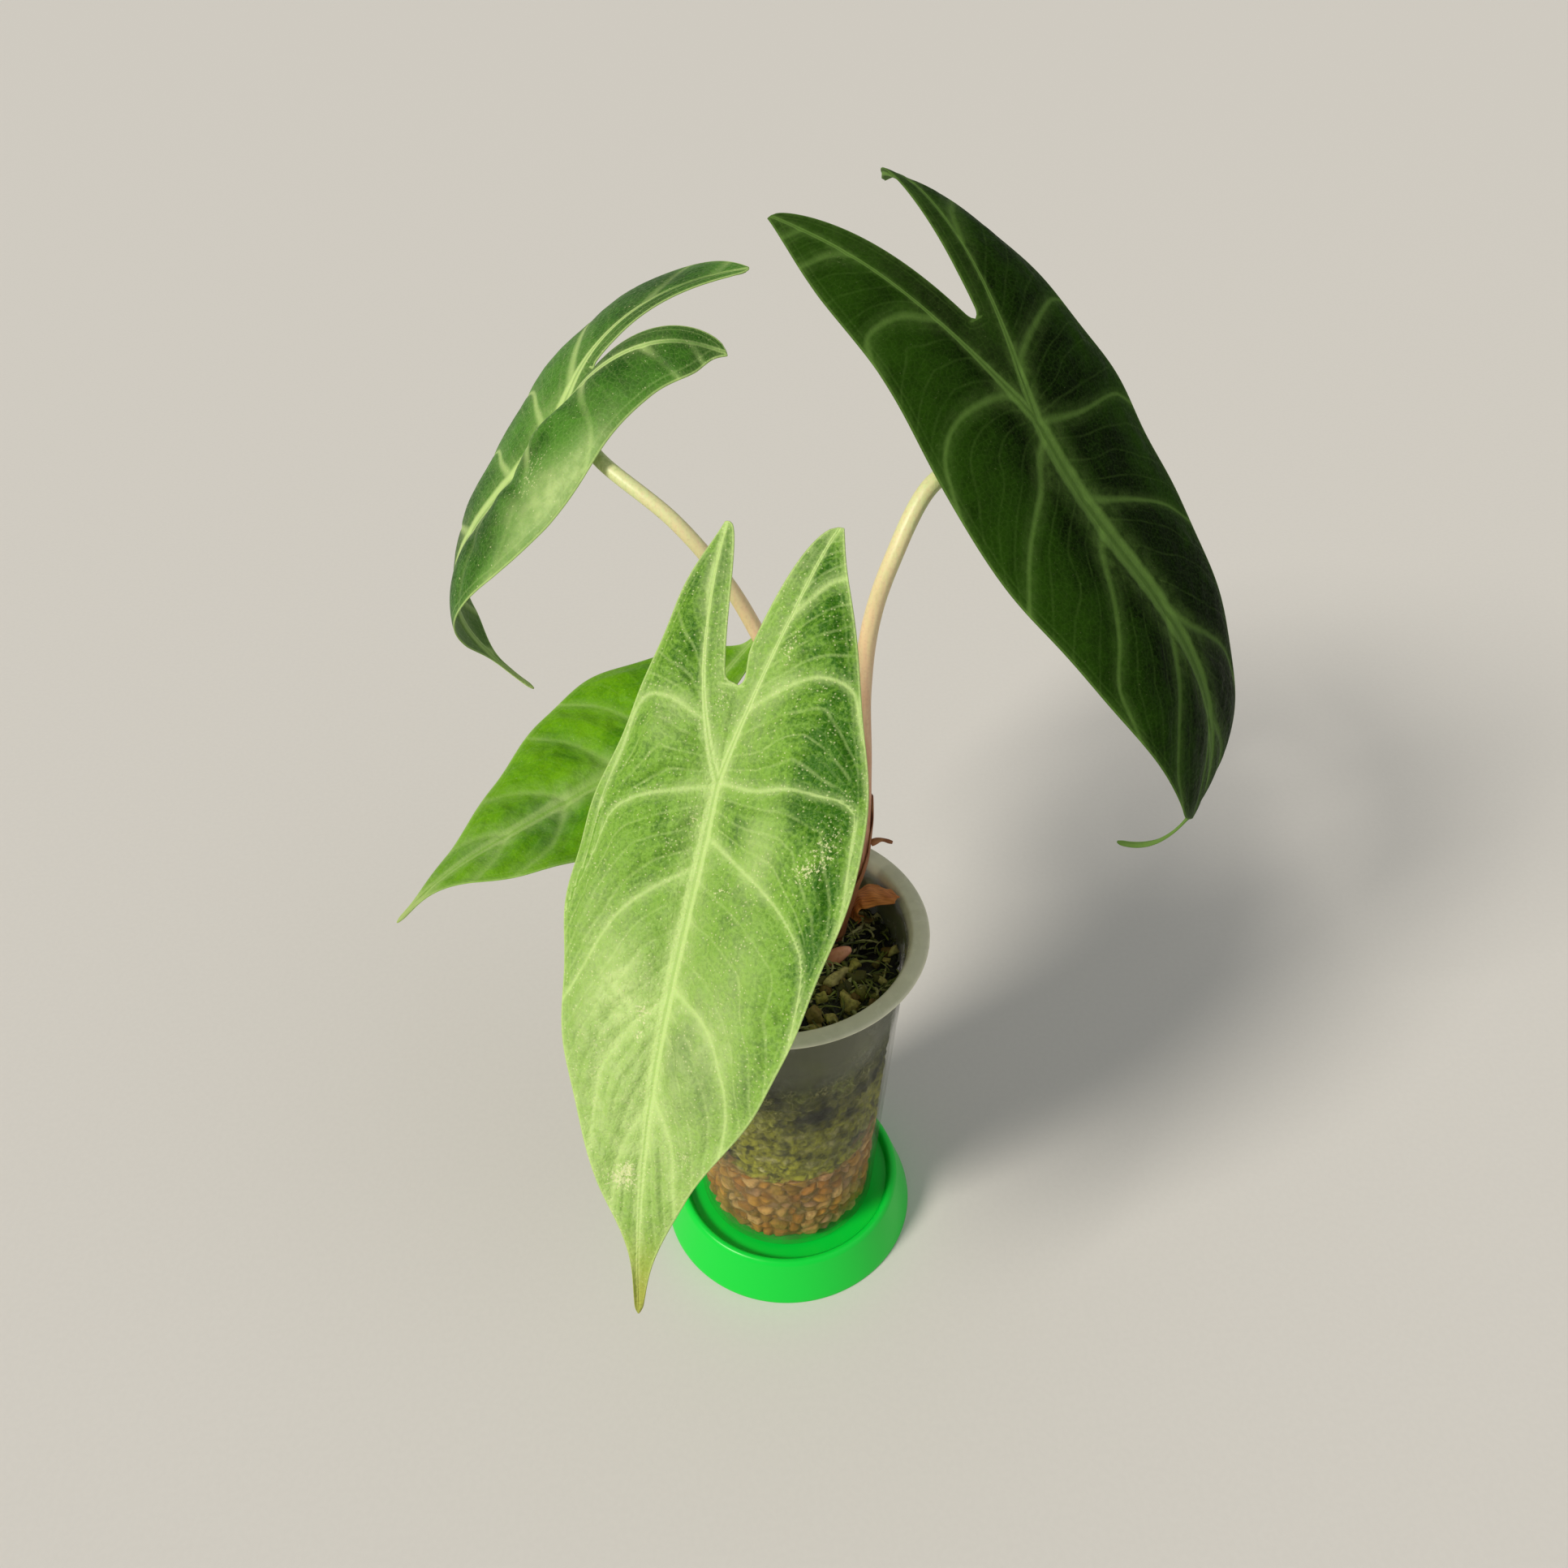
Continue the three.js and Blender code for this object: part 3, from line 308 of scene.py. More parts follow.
# How much a blade bulges between its veins and how deep its finer veins are pressed in, as shares
# of the settings for both
QUILTS = {"front": (1.35, 1.6), "upper_right": (0.5, 0.25), "upper_left": (0.2, 0.04),
          "lower_left": (1.4, 0.25)}
# Patches where side veins hardly show, written as the other patches
FAINT_PATCHES = {
    "upper_left": ((38, 17, 30, 10, 1.5), (60, 10, 20, 8, 0.8), (-46, 15, 15, 14, 0.8),
                   (-46, -16, 15, 14, 0.8), (-24, 24, 14, 5, 0.9), (-2, 16, 6, 12, 0.5)),
    "lower_left": ((30, 16, 60, 12, 0.4), (30, -16, 60, 12, 0.4)),
}
# Share of the length over which the tip takes its tip colour; on the upper right leaf that colour
# is painted shade
TIPS = {"front": (0.8, 1.0), "upper_right": (0.78, 0.86), "upper_left": (0.86, 0.96),
        "lower_left": (0.8, 1.0)}
# Look of each blade: settings that hold its light, deep, vein and tip colours, strength and width
# of its veins, strength of its haze, share of specks, roughness and shine
LOOKS = {
    "front": {"colours": ("front_light", "front_deep", "vein", "front_tip"), "veins": 0.82,
              "vein_width": 1.0, "bloom": 0.75, "speckle": 1.0, "roughness": 0.44, "shine": 0.2},
    # The upper right leaf's greens hold painted shade, and its tail takes the dark vein colour as
    # painted shade
    "upper_right": {"colours": ("right_light_shaded", "right_deep_shaded", "dark_vein", "dark_vein"),
                    "veins": 0.55, "vein_width": 1.6, "bloom": 0.35, "speckle": 0.02,
                    "roughness": 0.52, "shine": 0.03},
    "upper_left": {"colours": ("left_light", "left_deep", "vein", "tip"), "veins": 0.8,
                   "vein_width": 1.7, "bloom": 0.2, "speckle": 0.2, "roughness": 0.42,
                   "shine": 0.12},
    "lower_left": {"colours": ("low_light", "low_deep", "vein", "tip"), "veins": 0.32,
                   "vein_width": 1.6, "bloom": 0.35, "speckle": 0.1, "roughness": 0.42,
                   "shine": 0.12},
}
# Points round a stalk, and below round the filling
STALK_SIDES = 28

# Pot and filling: heights of the wall's foot and of its neck under the rim, of both ends of the
# granules and of the moss at the wall
POT_BASE = 12.3
POT_NECK = 116.8
GRANULES_LOW = 14.6
GRANULES_TOP = 46.0
MOSS_EDGE = 109.0
WALL_SIDES = 300
# Air between the wall and the filling
WALL_GAP = 0.45
# Middle of the hollow beside the crown
HOLLOW = (21.5, 6)
# Chips that the photograph shows: place, size and share of the way through CHIP_COLOURS
SEEN_CHIPS = np.array([
    (14.8, -9, 2.6, 0.8), (19, -5.5, 2.0, 0.05), (17.5, -16, 2.8, 0.55), (8.4, -20.5, 2.4, 0.4),
    (24.6, -14.5, 1.3, 0.2), (31, 2, 1.3, 0.8), (13, -22, 1.7, 0.55), (21.5, -13.5, 1.7, 0.2),
    (27, -9, 1.2, 0.8), (10.5, -14.5, 1.7, 0.05)])
# The first two of them are long: stretch along three axes and turn
LONG_CHIPS = np.array([(1.5, 0.62, 0.6, 1.0), (1.4, 0.62, 0.6, 0.9)])
CHIP_COLOURS = ("#AEA64C", "#7E7A30", "#5A581C", "#94803E", "#C2B460", "#4E4C1A", "#CCBE74",
                "#7C6228")
CLAY_COLOURS = ("#CC9638", "#BA802C", "#D2A65A", "#AA742A", "#D8B06A", "#AC8834", "#C09664",
                "#967428")
CORM_COLOURS = ("#8A6A48", "#7A5A3C", "#94744E")

# The camera stands where the photograph was taken: 252 mm before the pot's axis and 388 mm up,
# turned 0.6 degrees right, looking down 40.6 degrees and leaning 1.75 degrees. The lens has 1700
# pixels of focal length on a frame 1932 pixels wide
CAMERA_PLACE = np.array([0, -251.6, 388.4])
CAMERA_ANGLES = (0.61, 40.6, -1.75)
FOCAL_PIXELS = 1700
PHOTO_PIXELS = 1932


def hex_colour(code):
    """Linear colour of an sRGB hex code: each channel c becomes ((c + 0.055) / 1.055) ^ 2.4."""
    channels = [int(code[i:i + 2], 16) / 255 for i in (1, 3, 5)]
    return tuple(c / 12.92 if c <= 0.04045 else ((c + 0.055) / 1.055) ** 2.4 for c in channels)


def smooth_through(stations, values, x):
    """Cubic through (stations, values); its slope at a station is the mean of its neighbours'."""
    s = np.asarray(stations, float)
    v = np.asarray(values, float)
    x = np.asarray(x, float)
    step = np.diff(s)
    slope = np.diff(v) / step
    inner = (slope[:-1] * step[1:] + slope[1:] * step[:-1]) / (step[1:] + step[:-1])
    tangent = np.concatenate([slope[:1], inner, slope[-1:]])
    k = np.clip(np.searchsorted(s, x) - 1, 0, len(s) - 2)
    t = np.clip((x - s[k]) / step[k], 0, 1)
    start = (2 * t**3 - 3 * t**2 + 1) * v[k] + (t**3 - 2 * t**2 + t) * step[k] * tangent[k]
    end = (3 * t**2 - 2 * t**3) * v[k + 1] + (t**3 - t**2) * step[k] * tangent[k + 1]
    return start + end


def ease(x, low, high):
    """0 below low, 1 above high, and 3t^2 - 2t^3 between."""
    t = np.clip((np.asarray(x, float) - low) / (high - low), 0, 1)
    return t * t * (3 - 2 * t)


def unit(v):
    """Vectors of length 1."""
    return v / np.maximum(np.linalg.norm(v, axis=-1, keepdims=True), 1e-12)


def follow(path, at, x):
    """Points of a path at x, where at holds the place of each of the path's own points."""
    return np.stack([np.interp(x, at, path[:, k]) for k in range(3)], -1)


def curve_points(points, count):
    """Centripetal Catmull-Rom curve through points, at count places of equal spacing along it."""
    p = np.asarray(points, float)
    p = np.vstack([2 * p[0] - p[1], p, 2 * p[-1] - p[-2]])
    gap = np.linalg.norm(np.diff(p, axis=0), axis=1) ** 0.5
    t = np.linspace(0, 1, 40, endpoint=False)[:, None]
    parts = []
    for i in range(1, len(p) - 2):
        d0, d1, d2 = gap[i - 1], gap[i], gap[i + 1]
        out = (p[i] - p[i - 1]) / d0 - (p[i + 1] - p[i - 1]) / (d0 + d1) + (p[i + 1] - p[i]) / d1
        into = (p[i + 1] - p[i]) / d1 - (p[i + 2] - p[i]) / (d1 + d2) + (p[i + 2] - p[i + 1]) / d2
        parts.append((2 * t**3 - 3 * t**2 + 1) * p[i] + (t**3 - 2 * t**2 + t) * out * d1
                     + (3 * t**2 - 2 * t**3) * p[i + 1] + (t**3 - t**2) * into * d1)
    dense = np.vstack(parts + [p[-2:-1]])
    run = np.concatenate([[0], np.cumsum(np.linalg.norm(np.diff(dense, axis=0), axis=1))])
    return follow(dense, run, np.linspace(0, run[-1], count))


def lattice(ix, iy, iz, seed):
    """Random number from 0 to 1 for each whole-numbered lattice point."""
    h = np.sin(ix * 127.1 + iy * 311.7 + iz * 74.7 + seed * 53.3) * 43758.5453
    return h - np.floor(h)


def noise(p, size, seed):
    """Value noise: smooth blend of random numbers at the corners of cubes of the given size."""
    q = np.asarray(p, float) / size
    base = np.floor(q)
    f = q - base
    f = f * f * (3 - 2 * f)
    total = 0
    for dx in (0, 1):
        for dy in (0, 1):
            for dz in (0, 1):
                share = (np.abs(1 - dx - f[..., 0]) * np.abs(1 - dy - f[..., 1])
                         * np.abs(1 - dz - f[..., 2]))
                total = total + share * lattice(base[..., 0] + dx, base[..., 1] + dy,
                                                base[..., 2] + dz, seed)
    return total


def cells(p, size, seed):
    """Cells round one jittered point per cube: distances to the nearest and the second nearest
    point over the cube's size, and the nearest point's random number."""
    q = np.asarray(p, float) / size
    base = np.floor(q)
    first = np.full(q.shape[:-1], 9.0)
    second = np.full(q.shape[:-1], 9.0)
    mark = np.zeros(q.shape[:-1])
    for dx in (-1, 0, 1):
        for dy in (-1, 0, 1):
            for dz in (-1, 0, 1):
                cx, cy, cz = base[..., 0] + dx, base[..., 1] + dy, base[..., 2] + dz
                centre = np.stack([cx + 0.15 + 0.7 * lattice(cx, cy, cz, seed),
                                   cy + 0.15 + 0.7 * lattice(cx, cy, cz, seed + 1),
                                   cz + 0.15 + 0.7 * lattice(cx, cy, cz, seed + 2)], -1)
                d = np.linalg.norm(q - centre, axis=-1)
                nearer = d < first
                second = np.where(nearer, first, np.minimum(second, d))
                mark = np.where(nearer, lattice(cx, cy, cz, seed + 3), mark)
                first = np.where(nearer, d, first)
    return first, second, mark


def grid_faces(rows, columns, around=False):
    """Quads of a grid of rows by columns, its points numbered row by row; closed round if asked."""
    i = np.arange(rows - 1)[:, None]
    j = np.arange(columns if around else columns - 1)[None, :]
    k = (j + 1) % columns
    quads = np.stack(np.broadcast_arrays(i * columns + j, i * columns + k,
                                         (i + 1) * columns + k, (i + 1) * columns + j), -1)
    return quads.reshape(-1, 4)


def closed_ends(faces, rows, columns):
    """The faces of a grid, with its first row and its last row each drawn together to a point."""
    for start in (0, (rows - 1) * columns):
        faces = np.where((faces >= start) & (faces < start + columns), start, faces)
    return faces


def ring_turns(sides):
    """Angles of evenly spaced points round a ring."""
    return np.arange(sides) / sides * 2 * np.pi


def make_piece(name, points, faces, material, attributes=None, uv=None, flip=False):
    """Mesh object from points in millimetres from the pot's axis, and quads whose equal corners
    are dropped, with a float per point for each attribute and a flat position per point."""
    quads = faces[:, ::-1] if flip else faces
    fresh = np.stack([quads[:, k] != quads[:, (k + 1) % 4] for k in range(4)], 1)
    size = fresh.sum(1)
    quads, fresh, size = quads[size > 2], fresh[size > 2], size[size > 2]
    loops = quads[fresh]
    starts = np.concatenate([[0], np.cumsum(size)[:-1]])
    mesh = bpy.data.meshes.new(name)
    mesh.vertices.add(len(points))
    mesh.vertices.foreach_set("co", ((points + POT_AXIS) * MM).astype(np.float32).ravel())
    mesh.loops.add(len(loops))
    mesh.loops.foreach_set("vertex_index", loops.astype(np.int32))
    mesh.polygons.add(len(size))
    mesh.polygons.foreach_set("loop_start", starts.astype(np.int32))
    mesh.polygons.foreach_set("loop_total", size.astype(np.int32))
    mesh.polygons.foreach_set("use_smooth", np.ones(len(size), bool))
    mesh.update(calc_edges=True)
    for key, values in (attributes or {}).items():
        layer = mesh.attributes.new(key, "FLOAT", "POINT")
        layer.data.foreach_set("value", np.asarray(values, np.float32).ravel())
    if uv is not None:
        layer = mesh.uv_layers.new(name="flat")
        layer.data.foreach_set("uv", (uv[loops] / 100).astype(np.float32).ravel())
    mesh.materials.append(material)
    piece = bpy.data.objects.new(name, mesh)
    bpy.context.scene.collection.objects.link(piece)
    return piece


def finish_piece(piece, node):
    """Rides the piece on the plant and hides the solid that it stands for."""
    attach(piece, "root")
    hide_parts(node)


def turned(profile, sides, corner):
    """Surface of revolution about Z of [radius, height] points, from axis to axis, each corner
    rounded by a parabola that starts and ends at the given distance from it."""
    p = np.asarray(profile, float)
    out = [p[:1]]
    for before, here, after in zip(p[:-2], p[1:-1], p[2:]):
        into, away = before - here, after - here
        reach_in = min(corner, 0.45 * np.linalg.norm(into))
        reach_out = min(corner, 0.45 * np.linalg.norm(away))
        start = here + unit(into) * reach_in
        end = here + unit(away) * reach_out
        t = np.linspace(0, 1, 5)[:, None]
        out.append((1 - t) ** 2 * start + 2 * t * (1 - t) * here + t**2 * end)
    p = np.vstack(out + [p[-1:]])
    turn = ring_turns(sides)
    points = np.stack([p[:, 0:1] * np.cos(turn), p[:, 0:1] * np.sin(turn),
                       np.broadcast_to(p[:, 1:2], (len(p), sides))], -1).reshape(-1, 3)
    return points, closed_ends(grid_faces(len(p), sides, around=True), len(p), sides)


def tube_faces(rings, sides):
    """Quads of a tube whose points are numbered ring by ring and closed by two end points."""
    faces = grid_faces(rings, sides, around=True)
    i = np.arange(sides)
    j = (i + 1) % sides
    top = (rings - 1) * sides
    start, end = np.full(sides, rings * sides), np.full(sides, rings * sides + 1)
    return np.vstack([faces, np.stack([j, i, start, start], 1),
                      np.stack([top + i, top + j, end, end], 1)])


def tube(path, radius, sides):
    """Rings of the given radius round a path, each ring square to it, with its ends closed.
    radius has one row a place on the path and one column a side, or a single column."""
    along = unit(np.gradient(path, axis=0))
    bend = np.cross(along[0], along[-1])
    if np.linalg.norm(bend) < 1e-3:
        bend = np.cross(along[0], (0.3, 1, 0.2))
    first = unit(bend - (along @ bend)[:, None] * along)
    second = np.cross(along, first)
    turn = ring_turns(sides)
    r = np.broadcast_to(radius, (len(path), sides))
    rings = (path[:, None] + (r * np.cos(turn))[..., None] * first[:, None]
             + (r * np.sin(turn))[..., None] * second[:, None])
    points = np.vstack([rings.reshape(-1, 3), path[:1], path[-1:]])
    return points, tube_faces(len(path), sides)


def sheet(middle, normal, thickness, faces):
    """Closed sheet about a middle surface: thickness holds how far its upper and its lower face lie
    from each middle point along the normal, and a wall that bulges outwards joins them round every
    open edge. Returns points, faces and each point's number in the middle surface."""
    up, down = thickness
    top = middle + normal * up[:, None]
    bottom = middle - normal * down[:, None]
    count = len(middle)
    corners = np.stack([faces, np.roll(faces, -1, axis=1)], -1).reshape(-1, 2)
    corners = corners[corners[:, 0] != corners[:, 1]]
    key = np.sort(corners, axis=1)
    _, where, times = np.unique(key[:, 0] * count + key[:, 1], return_index=True,
                                return_counts=True)
    rim = corners[where[times == 1]]
    lead = np.cross(middle[rim[:, 1]] - middle[rim[:, 0]], normal[rim[:, 0]])
    outward = np.zeros_like(middle)
    np.add.at(outward, rim[:, 0], lead)
    np.add.at(outward, rim[:, 1], lead)
    edge = np.unique(rim)
    number = np.zeros(count, int)
    number[edge] = 2 * count + np.arange(len(edge))
    bulge = middle[edge] + unit(outward[edge]) * (0.5 * (up + down)[edge, None])
    points = np.vstack([top, bottom, bulge])
    a, b = rim[:, 0], rim[:, 1]
    walls = [np.stack([b, a, number[a], number[b]], 1),
             np.stack([number[b], number[a], a + count, b + count], 1)]
    every = np.vstack([faces, faces[:, ::-1] + count] + walls)
    return points, every, np.concatenate([np.arange(count), np.arange(count), edge])


def posture(leaf, a):
    """Spine of a blade at distance a past its joint: point, and directions along, across and up.
    The spine is the sum of short steps along its heading and pitch, and across is turned by the
    roll."""
    back = max(leaf["left"]["lobe"], leaf["right"]["lobe"])
    stations = [-back] + [s * leaf["length"] for s in leaf["stations"]]

    def directions(x):
        heading = np.radians(smooth_through(stations, leaf["heading"], x))
        pitch = np.radians(smooth_through(stations, leaf["pitch"], x))
        roll = np.radians(smooth_through(stations, leaf["roll"], x))[..., None]
        along = np.stack([np.cos(pitch) * np.cos(heading), np.cos(pitch) * np.sin(heading),
                          np.sin(pitch)], -1)
        level = np.stack([-np.sin(heading), np.cos(heading), 0 * heading], -1)
        across = np.cos(roll) * level + np.sin(roll) * np.cross(along, level)
        return along, across, np.cross(along, across)

    fine = np.linspace(-back, leaf["length"], 181)
    step = directions(fine)[0]
    path = np.vstack([np.zeros((1, 3)), np.cumsum((step[1:] + step[:-1]) / 2, axis=0)])
    path *= fine[1] - fine[0]
    path += np.array(leaf["joint"], float) - follow(path, fine, 0)
    return (follow(path, fine, a),) + directions(a)


def outer_edge(leaf, half, a):
    """Half width of the blade at a: a smooth curve through its widths, drawn in to a slender
    tail that tapers. At the very end it closes to a point as a square root."""
    stations = [-s * half["lobe"] for s in LOBE_STATIONS]
    stations += [s * leaf["length"] for s in WIDTH_STATIONS]
    widths = (half["lobe_vein"][0] + 0.8,) + half["lobe_widths"] + half["widths"] + (END_WIDTH,)
    full = smooth_through(stations, widths, a)
    start, end, slender = leaf.get("tail", (2, 3, 0))
    f = np.asarray(a, float) / leaf["length"]
    slim = slender * (1 - TAIL_TAPER * np.maximum((f - end) / (1 - end), 0))
    point = np.sqrt(np.clip((1 - f) * leaf["length"] / POINT_LENGTH, 0.03, 1))
    return (full + (slim - full) * ease(f, start, end)) * point


def lobe_vein(half, a):
    """Distance of the lobe's vein from the midrib line: end * (1 - (1 - q) ^ bend), where q runs
    from 0 at the joint to 1 at the lobe's end."""
    end, bend = half["lobe_vein"]
    q = np.clip(-np.asarray(a, float) / half["lobe"], 0, 1)
    return end * (1 - (1 - q) ** bend)


def inner_edge(leaf, half, a):
    """Distance of the lobe's inner edge from the midrib line: 0 as far as the cleft, and past it
    the vein less a width that shrinks as the root of 1 - t^3 towards the lobe's end. A quarter
    circle rounds the bottom of the cleft."""
    past = -np.asarray(a, float) - leaf["sinus"]
    t = np.clip(past / (half["lobe"] - leaf["sinus"]), 0, 1)
    blend = ease(t, 0, 0.25)
    narrow = min(half["inner"], lobe_vein(half, -leaf["sinus"]) - 1.6)
    width = narrow * (1 - blend) + half["inner"] * blend
    inside = lobe_vein(half, a) - width * np.sqrt(np.maximum(1 - t**3, 0)) - 0.4
    rounded = np.sqrt(1 - (1 - np.clip(past / CLEFT_LENGTH, 0, 1)) ** 2)
    return np.where(past <= 1e-9, 0, np.maximum(inside, 0) * rounded)


def blade_surface(leaf, half, side, a, b):
    """Middle surface of one half: from the spine out along an arc whose slope changes evenly from
    the rise at the midrib to the droop at 30 mm, plus waves that grow with the cube of the
    distance to the edge. Returns points and normals."""
    point, _, across, up = posture(leaf, a)
    back = max(leaf["left"]["lobe"], leaf["right"]["lobe"])
    stations = (-back, 0, leaf["length"])
    rise = np.radians(smooth_through(stations, half["rise"], a))
    droop = np.radians(smooth_through(stations, half["droop"], a))
    bend = (droop - rise) / DROOP_WIDTH
    bend = np.where(np.abs(bend) < 1e-5, 1e-5, bend)
    slope = rise + bend * b
    out = (np.sin(slope) - np.sin(rise)) / bend
    lift = (np.cos(slope) - np.cos(rise)) / bend
    tilt = slope * ease(b, 0, 6)
    normal = across * (side * np.sin(tilt))[..., None] + up * np.cos(tilt)[..., None]
    height, wavelength, phase = leaf["wave"]
    share = np.minimum(b / outer_edge(leaf, half, a), 1)
    turns = 2 * np.pi * a / wavelength + np.radians(phase) * side
    wave = height * share**3 * np.sin(turns)
    middle = point + across * (side * out)[..., None] + up * lift[..., None]
    return middle + normal * wave[..., None], normal


def flat_curve(points):
    """Smooth line of 18 points on the flat leaf, carried straight on by 30 mm before its start
    and 40 mm past its end."""
    p = np.asarray(points, float)
    line = curve_points(np.column_stack([p, np.zeros(len(p))]), 18)[:, :2]
    back = unit(line[0] - line[1]) * 30
    out = unit(line[-1] - line[-2]) * 40
    return np.vstack([line[:1] + back, line, line[-1:] + out])


def beside_line(flat, line, side):
    """Distance of points from a line on the flat leaf, positive on the side of the leaf's tip."""
    best = np.full(len(flat), 1e9)
    sign = np.ones(len(flat))
    for start, step in zip(line[:-1], np.diff(line, axis=0)):
        away = flat - start
        t = np.clip(away @ step / (step @ step), 0, 1)
        d = np.linalg.norm(away - t[:, None] * step, axis=1)
        nearer = d < best
        best = np.where(nearer, d, best)
        turn = step[0] * away[:, 1] - step[1] * away[:, 0]
        sign = np.where(nearer, np.where(turn * -side > 0, 1.0, -1.0), sign)
    return best * sign


def side_vein_field(name, side, flat):
    """Where each point of one half lies among its side veins: a number that is whole on each vein
    and grows evenly by 1 from one vein to the next, and the distance between those two veins."""
    lines = [flat_curve(v) for v in SIDE_VEINS[name] if v[-1][1] * side > 0]
    d = np.stack([beside_line(flat, line, side) for line in lines])
    passed = (d > 0).sum(0)
    point = np.arange(len(flat))
    low = d[np.clip(passed - 1, 0, len(lines) - 1), point]
    high = -d[np.clip(passed, 0, len(lines) - 1), point]
    outermost = (passed == 0) | (passed == len(lines))
    gap = np.where(outermost, VEIN_SPACING, low + high)
    share = np.where(passed == 0, 1 - high / VEIN_SPACING,
                     np.clip(low / np.maximum(gap, 1e-6), 0, 9))
    number = passed - 1 + share
    # Between two side veins the finer ones wander a little
    drift = noise(np.column_stack([flat, 0 * point]), 9.0, 21) - 0.5
    return number + 0.16 * drift * np.sin(np.pi * number) ** 2, np.clip(gap, 2, 40)


def patch_field(flat, patches):
    """Sum of soft ovals: strength * exp(-(da / half length)^2 - (db / half width)^2)."""
    total = np.zeros(len(flat))
    for a, b, long, wide, strength in patches:
        away = ((flat[:, 0] - a) / long) ** 2 + ((flat[:, 1] - b) / wide) ** 2
        total += strength * np.exp(-away)
    return total


def main_vein_field(leaf, half, a, b):
    """Distance from the midrib, or past the joint from the lobe's vein, and that vein's half
    width, which narrows from the joint to both its ends."""
    step = 0.5
    slope = (lobe_vein(half, a - step) - lobe_vein(half, a + step)) / (2 * step)
    away = np.abs(b - lobe_vein(half, a)) / np.sqrt(1 + slope**2)
    width = smooth_through((-half["lobe"], -10, 0, leaf["length"]), (0.3, 0.7, 1.1, 0.3), a)
    return away, width


def blade_grid(name, leaf, cell):
    """Middle surface of a blade as rows across its spine. Each half has one strip from the vein
    line out to the edge and one from the lobe's vein in to the cleft. Returns points on the flat
    leaf, in space and their normals, distance from the edge, the vein field and faces."""
    flats, middles, normals, edges, veins, quads = [], [], [], [], [], []
    start = 0
    sinus, length = leaf["sinus"], leaf["length"]
    common = np.concatenate([np.linspace(-sinus, 0, int(sinus / cell), endpoint=False),
                             np.linspace(0, length, int(length / cell))])
    for side, half in ((1, leaf["left"]), (-1, leaf["right"])):
        free = half["lobe"] - sinus
        lobe = np.linspace(-half["lobe"], -sinus, int(free / cell), endpoint=False)
        rows = np.concatenate([lobe, common])
        # Columns of the inner strip as for a width of 9 mm
        strips = ((rows, outer_edge, int(max(half["widths"]) / cell), side),
                  (rows[rows <= 1e-9], inner_edge, int(9 / cell), -side))
        for at, far, columns, way in strips:
            share = np.linspace(0, 1, columns)
            a = np.repeat(at[:, None], columns, 1)
            near = lobe_vein(half, at)
            b = near[:, None] + share * (far(leaf, half, at) - near)[:, None]
            middle, normal = blade_surface(leaf, half, side, a, b)
            flat = np.stack([a, side * b], -1).reshape(-1, 2)
            away, width = main_vein_field(leaf, half, a, b)
            number, gap = side_vein_field(name, side, flat)
            if way != side:
                # No side veins between a lobe's vein and the cleft
                number, gap = np.full(len(flat), 0.25), np.full(len(flat), 40.0)
            # Past the cleft the lobe ends at its inner edge too, before it at the cleft's bottom
            bottom = inner_edge(leaf, half, -sinus - CLEFT_LENGTH)
            inside = np.where(a < -sinus, b - inner_edge(leaf, half, a),
                              np.hypot(a + sinus, np.maximum(b - bottom, 0)))
            outside = outer_edge(leaf, half, a) - b
            flats.append(flat)
            middles.append(middle.reshape(-1, 3))
            normals.append(normal.reshape(-1, 3))
            edges.append(np.minimum(outside, np.maximum(inside, 0)).ravel())
            veins.append(np.column_stack([away.ravel(), width.ravel(), number, gap]))
            faces = grid_faces(len(at), columns) + start
            quads.append(faces if way < 0 else faces[:, ::-1])
            start += len(at) * columns
    # Points that share a place on the flat leaf are one point
    flat = np.vstack(flats)
    key = np.round(flat * 500).astype(np.int64)
    _, first, number = np.unique(key[:, 0] * 1000003 + key[:, 1], return_index=True,
                                 return_inverse=True)
    faces = number.reshape(-1)[np.vstack(quads)]
    faces = faces[(faces[:, 0] != faces[:, 2]) & (faces[:, 1] != faces[:, 3])]
    return (flat[first], np.vstack(middles)[first], np.vstack(normals)[first],
            np.concatenate(edges)[first], np.vstack(veins)[first].T, faces)


